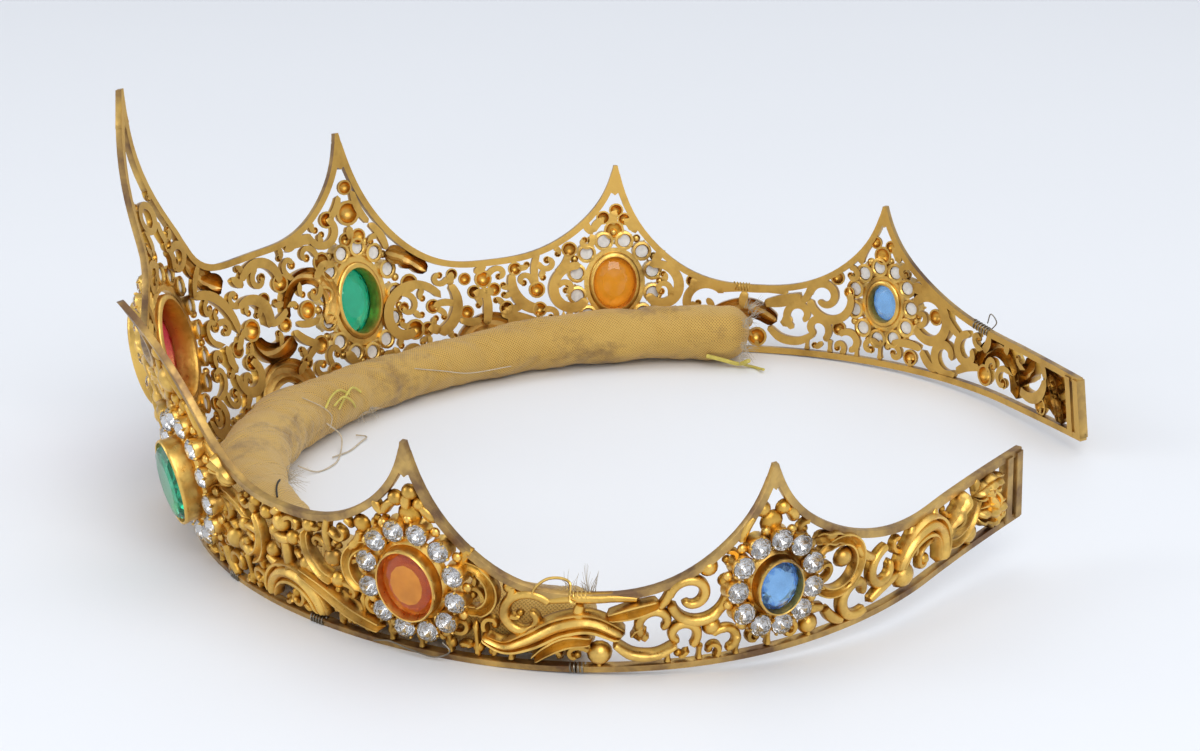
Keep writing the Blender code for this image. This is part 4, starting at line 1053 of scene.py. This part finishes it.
def main_stone(name, place, half, tall, top, finishes):
    """Oval cut stone with a table, crown facets, a girdle and pavilion facets."""
    wide = half - STONE_INSET
    painted_light_back = "orange" in name or "blue" in name
    crown = top + (GREEN_PROUD if "green" in name else 0.0)
    levels = (
        (wide * 0.5, top - 3.3, 0.0), (wide * 0.78, top - 2.7, 0.5), (wide, top - 1.75, 0.0),
        (wide, (top + crown) / 2 - 1.5, 0.0), (wide * 0.84, crown - 1.0, 0.5), (wide * 0.6, crown - 0.7, 0.0),
    )
    bm = cut_stone(levels, STONE_SIDES)
    bmesh.ops.scale(bm, verts=bm.verts, vec=(1, (tall - STONE_INSET) / wide, 1))
    # Painted light: the table, and the pavilion of the orange and blue stones, take the paler copy of the glass
    paint(bm, 1, lambda middle: middle.z > crown - 0.8 or middle.z < top - 1.8 and painted_light_back)
    return put(name, bm, place, finishes, False)


def set_in(sheet, piece, place):
    """Place a small piece and add it to a section."""
    piece.transform(place)
    lay(sheet, piece)


def bead(radius, shape, fineness):
    """Small rounded lump, stretched to a shape."""
    bm = bmesh.new()
    bmesh.ops.create_icosphere(bm, subdivisions=fineness, radius=radius)
    bmesh.ops.scale(bm, verts=bm.verts, vec=shape)
    return bm


def halo(name, place, half, tall, count):
    """Ring of rhinestones, each in a cup with four claws and an open back."""
    cups, stones = bmesh.new(), bmesh.new()
    inner = half - COLLAR_INSET
    collar = turned([(inner + across, z) for across, z in COLLAR], OVAL_STEPS)
    bmesh.ops.scale(collar, verts=collar.verts, vec=(1, (tall - COLLAR_INSET) / inner, 1))
    lay(cups, collar)
    for i in range(count):
        between = 2 * math.pi * (i + 1.0) / count
        foot = ((half + LUMP_OUT) * math.cos(between), (tall + LUMP_OUT) * math.sin(between), 0.9)
        set_in(cups, bead(*LUMP), Matrix.Translation(foot))
        angle = 2 * math.pi * (i + 0.5) / count
        centre = Vector((half * math.cos(angle), tall * math.sin(angle), 0.0))
        turn = Matrix.Translation(centre) @ Matrix.Rotation(angle + 0.3 * i, 4, 'Z')
        set_in(cups, turned(CUP, CUP_STEPS), turn)
        for j in range(4):
            quarter = Matrix.Rotation(math.pi / 2 * j, 4, 'Z')
            set_in(cups, bead(*CLAW), turn @ quarter @ Matrix.Translation(CLAW_AT))
        gem = cut_stone(RHINESTONE, GEM_SIDES)
        paint(gem, 1, lambda middle: middle.z < FOILED_BELOW)
        set_in(stones, gem, turn)
        disc = turned(FOIL_DISC, DISC_STEPS)
        paint(disc, 2)
        set_in(stones, disc, turn)
    cup_piece = put(name + "_cups", cups, place, (OUTER_GILT,), True)
    stone_piece = put(name + "_rhinestones", stones, place, (PASTE, FOIL, FOIL_BACK), False)
    return cup_piece, stone_piece


def jewels():
    """Every setting, stone and halo, in place of the plain solids."""
    for name, s, h, half, tall, top, halo_half, halo_tall, count in JEWELS:
        for prefix, side in ((("", 1),) if s == 0 else (("left_", 1), ("right_", -1))):
            node = prefix + name
            place = jewel_matrix(s * side, h)
            box = box_setting(node + "_box", place, half, tall, top)
            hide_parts(node + "_setting")
            gem = main_stone(node + "_gem", place, half, tall, top, STONES[name])
            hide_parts(node + "_stone")
            cups, stones = halo(node, place, halo_half, halo_tall, count)
            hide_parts(node + "_halo")


# Padded roll

def roll_frame(s):
    """Middle of the roll and its inward and along directions at rim distance s, with its thickness."""
    rows = np.array(ROLL)
    thick = float(np.interp(min(max(s, -ROLL_FULL), ROLL_FULL), rows[:, 0], rows[:, 1]))
    inset = float(np.interp(s, rows[:, 0], rows[:, 2]))
    base, ahead = wall([s, s + 0.5], [0, 0], [0, 0])
    along = Vector(ahead - base)
    along.z = 0
    along.normalize()
    inward = Vector((-along.y, along.x, 0.0))
    centre = Vector(base) + inward * (ROLL_CLEAR + inset + thick / 2) * MM
    centre.z = base[2] + (thick / 2 + 0.2) * MM
    return centre, inward, along, thick


def roll_point(centre, inward, angle, radius):
    """Point of the roll's surface: it is a little wider than tall and rests on the table."""
    point = centre + inward * (ROLL_SHIFT * MM + ROLL_WIDER * radius * math.cos(angle))
    point.z = max(centre.z + radius * math.sin(angle), ROLL_LOW)
    return point


def padded_roll():
    """Roll of padding in worn cloth, gathered at its ends, dented and wrinkled along its length."""
    bm = bmesh.new()
    uv = bm.loops.layers.uv.new("cloth")
    bmesh.ops.create_grid(bm, x_segments=ROLL_AROUND, y_segments=ROLL_STEPS, size=0.5, calc_uvs=True)
    for face in bm.faces:
        face.smooth = True
        for loop in face.loops:
            loop[uv].uv = ((loop.vert.co.x + 0.5) * WEAVE_AROUND, (loop.vert.co.y + 0.5) * WEAVE_ALONG)
    first, last = ROLL[0][0], ROLL[-1][0]
    for vert in bm.verts:
        u, v = vert.co.x + 0.5, vert.co.y + 0.5
        s = first + (last - first) * v
        centre, inward, _, thick = roll_frame(s)
        angle = 2 * math.pi * u
        from_end = min(s - first, last - s)
        closing = math.sqrt(max(0.0, 1 - (1 - min(from_end / CLOSES_OVER, 1.0)) ** 2))
        closing = END_OPEN + (1 - END_OPEN) * closing if from_end > 0.01 else 0.0
        gather = GATHER * math.sin(9 * angle + s * 0.3) * max(0.0, 1 - from_end / FADES_OVER)
        sample = Vector((s * 0.11, math.cos(angle) * 0.9, math.sin(angle) * 0.9))
        dent = BROAD_DENT * noise.noise(sample) + SMALL_DENT * noise.noise(sample * 3.1)
        crease = noise.noise(Vector((s * 0.22 + math.cos(angle) * 1.6, 3.3, math.sin(angle) * 0.5)))
        dent -= CREASE * max(0.0, 1 - abs(crease) * 7)
        radius = thick / 2 * MM * closing * (0.97 + dent + gather)
        vert.co = roll_point(centre, inward, angle, radius)
    bmesh.ops.remove_doubles(bm, verts=bm.verts, dist=1e-6)
    bmesh.ops.recalc_face_normals(bm, faces=bm.faces)
    made = shown("gold_cloth_roll", finished("gold_cloth_roll", bm, (CLOTH,)))
    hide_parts("padded_roll")


# Threads and wires

# Piece made of each finish, and the parts between two points of a thread or wire
TRIM_PIECES = {
    "black": "stitch_thread", "yellow": "yellow_threads", "beige": "loose_threads", "fray": "frayed_tufts",
    "gold": "gilt_wire", "steel": "binding_wire",
}
LINE_PARTS = 6


def strand(into, line, radius, sides=6, point=1.0):
    """Thin round strand along a line in metres, thinned at its far end to the given share."""
    last = len(line) - 1
    across = Vector((0.3, 0.2, 1.0))
    frames = []
    for j in range(last + 1):
        ahead = (line[min(j + 1, last)] - line[max(j - 1, 0)]).normalized()
        across = (across - ahead * across.dot(ahead)).normalized()
        frames.append((across.copy(), ahead.cross(across)))
    bm, places = tube_grid(sides, last)
    for vert, i, j in places:
        angle = 2 * math.pi * i / sides
        first, second = frames[j]
        size = radius * (1 + (point - 1) * j / last)
        vert.co = line[j] + (first * math.cos(angle) + second * math.sin(angle)) * size
    bmesh.ops.remove_doubles(bm, verts=bm.verts, dist=radius * 0.02)
    cap_ends(bm)
    bmesh.ops.recalc_face_normals(bm, faces=bm.faces)
    lay(into, bm)


def lead(into, line, radius):
    """Strand of a radius in millimetres along a line, lifted clear of the table."""
    for point in line:
        point.z = max(point.z, radius * MM * 1.05)
    strand(into, line, radius * MM)


def on_roll(s, degrees, lift):
    """Point on the roll, raised by lift millimetres and never under the table."""
    held = max(-ROLL_END, min(ROLL_END, s))
    centre, inward, along, thick = roll_frame(held)
    point = roll_point(centre, inward, math.radians(degrees), (thick / 2 + lift) * MM)
    point += along * (s - held) * MM
    point.z = max(point.z, THREAD_LOW)
    return point


def trimmings():
    """Loose threads, frayed tufts and the wires that hold the sections together."""
    made = {finish: bmesh.new() for finish in TRIM_PIECES}
    for finish, radius, points in THREADS:
        lead(made[finish], smoothed([on_roll(*point) for point in points], LINE_PARTS), radius)
    for k, (s, degrees, length, count) in enumerate(TUFTS):
        for i in range(count):
            turn = i * 2.399 + k
            root = on_roll(s + 1.1 * math.cos(turn) * (i / count), degrees + 10 * math.sin(turn * 1.7), -0.2)
            reach = length * (0.6 + 0.4 * math.cos(3 * turn))
            outer = on_roll(s + 1.6 * math.cos(turn), degrees + 16 * math.sin(turn), reach)
            if s < -130:
                outer -= roll_frame(-ROLL_END)[2] * length * 0.7 * MM
            middle = (root + outer) / 2 + Vector((math.cos(turn), math.sin(turn), 0.6)) * 0.25 * MM
            outer.z = max(outer.z, THREAD_LOW)
            middle.z = max(middle.z, THREAD_LOW)
            strand(made["fray"], smoothed([root, middle, outer], 3), FIBRE_RADIUS * MM, 4, 0.3)
    for finish, radius, points in WIRES:
        lead(made[finish], smoothed([Vector(wall(*point)[0]) for point in points], LINE_PARTS), radius)
    for finish, first, last, side, turns, top in BINDINGS:
        line = []
        for i in range(turns * TURN_POINTS + 1):
            angle = 2 * math.pi * i / TURN_POINTS
            s = first + (last - first) * i / (turns * TURN_POINTS)
            middle = top_edge(s) - RIM_WIDTH / 2 if top else RIM_WIDTH / 2
            h = middle + (RIM_WIDTH / 2 + OFF_EDGE) * math.cos(angle)
            out = RIM_DEPTH / 2 + (RIM_DEPTH / 2 + OFF_FACE) * math.sin(angle)
            line.append(Vector(wall(side * s, h, out)[0]))
        lead(made[finish], line, BINDING_RADIUS)
    for key, bm in made.items():
        put(TRIM_PIECES[key], bm, Matrix.Identity(4), (TRIM_FINISHES[key],), True)


# Stage, light and camera

# Soft boxes: name, place, point faced, size, power, colour
BOXES = (
    ("window_side", (0.75, 0.35, 0.7), (0, 0, 0.02), (0.7, 0.7), 5.2, (1.0, 0.985, 0.96)),
    ("overhead", (-0.2, 0.1, 1.0), (0, 0, 0.0), (0.9, 0.9), 2.8, (1, 1, 1)),
    ("front_side", (0.3, -0.9, 0.5), (0, 0, 0.02), (0.5, 0.5), 1.8, (0.96, 0.98, 1.0)),
)
# Light of the room from below to above, and its strength
ROOM_TONES = ((0.0, (1.0, 1.02, 1.06)), (0.4, (0.8, 0.83, 0.88)), (1.0, (0.5, 0.52, 0.56)))
ROOM_STRENGTH = 0.86
# Camera: degrees round and up, point faced in millimetres, distance in metres, lens and film in millimetres
AZIMUTH, ELEVATION, TARGET, DISTANCE, LENS, FILM = 101.315, 18.121, (30.38, 7.49, 31.04), 0.5317, 96.34, 36.0
FLOOR_HALF, FLOOR_PARTS, NEAREST = 3.0, 40, 0.01


def stage():
    """Wide pale floor, all that shows behind the crown."""
    bm = bmesh.new()
    bmesh.ops.create_grid(bm, x_segments=FLOOR_PARTS, y_segments=FLOOR_PARTS, size=FLOOR_HALF)
    table = plain("pale_table", (0.83, 0.85, 0.885), 0.55, 0.0, 3.0, 0.02)
    made = bpy.data.objects.new("floor", finished("floor", bm, (table,)))
    bpy.context.scene.collection.objects.link(made)


def area_light(name, place, aim, size, power, colour):
    """Soft box that faces a point."""
    data = bpy.data.lights.new(name, 'AREA')
    data.shape = 'RECTANGLE'
    data.size, data.size_y = size
    data.energy = power
    data.color = colour
    made = bpy.data.objects.new(name, data)
    bpy.context.scene.collection.objects.link(made)
    made.location = place
    made.rotation_euler = (Vector(aim) - Vector(place)).to_track_quat('-Z', 'Y').to_euler()


def lights():
    """Plain soft studio light, pale all round and brightest from above."""
    world = bpy.data.worlds.new("studio")
    bpy.context.scene.world = world
    world.use_nodes = True
    tree = world.node_tree
    back = tree.nodes["Background"]
    place = tree.nodes.new("ShaderNodeTexCoord")
    split = tree.nodes.new("ShaderNodeSeparateXYZ")
    link(tree, place.outputs["Generated"], split.inputs["Vector"])
    tone = ramp(tree, split.outputs["Z"], ROOM_TONES)
    link(tree, tone.outputs["Color"], back.inputs["Color"])
    back.inputs["Strength"].default_value = ROOM_STRENGTH
    for box in BOXES:
        area_light(*box)


def picture():
    """Colours shown as a plain photograph shows them."""
    bpy.context.scene.view_settings.view_transform = 'Standard'


def camera():
    """Camera at the photograph's angle, beside the open back of the +X arm."""
    azimuth, elevation = math.radians(AZIMUTH), math.radians(ELEVATION)
    back = Vector((
        math.sin(azimuth) * math.cos(elevation), -math.cos(azimuth) * math.cos(elevation), math.sin(elevation),
    ))
    data = bpy.data.cameras.new("camera")
    data.sensor_width = FILM
    data.lens = LENS
    data.clip_start = NEAREST
    made = bpy.data.objects.new("camera", data)
    bpy.context.scene.collection.objects.link(made)
    made.location = Vector(TARGET) * MM + back * DISTANCE
    made.rotation_euler = back.to_track_quat('Z', 'Y').to_euler()
    bpy.context.scene.camera = made


# The crown

SECTIONS = {"front": bmesh.new(), "wing": bmesh.new()}
top_rim()
tip_blades()
base_rim()
end_bars()
ornament()
fill_openings()
lay(SECTIONS["front"], mirrored(SECTIONS["front"]))
front = bend(SECTIONS["front"], "front_scrollwork", FINISHES)
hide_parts("front_openwork")
far_wing = bend(mirrored(SECTIONS["wing"]), "right_wing_scrollwork", FINISHES)
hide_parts("right_wing_openwork")
near_wing = bend(SECTIONS["wing"], "left_wing_scrollwork", FINISHES)
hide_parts("left_wing_openwork")
jewels()
padded_roll()
trimmings()
stage()
lights()
camera()
picture()
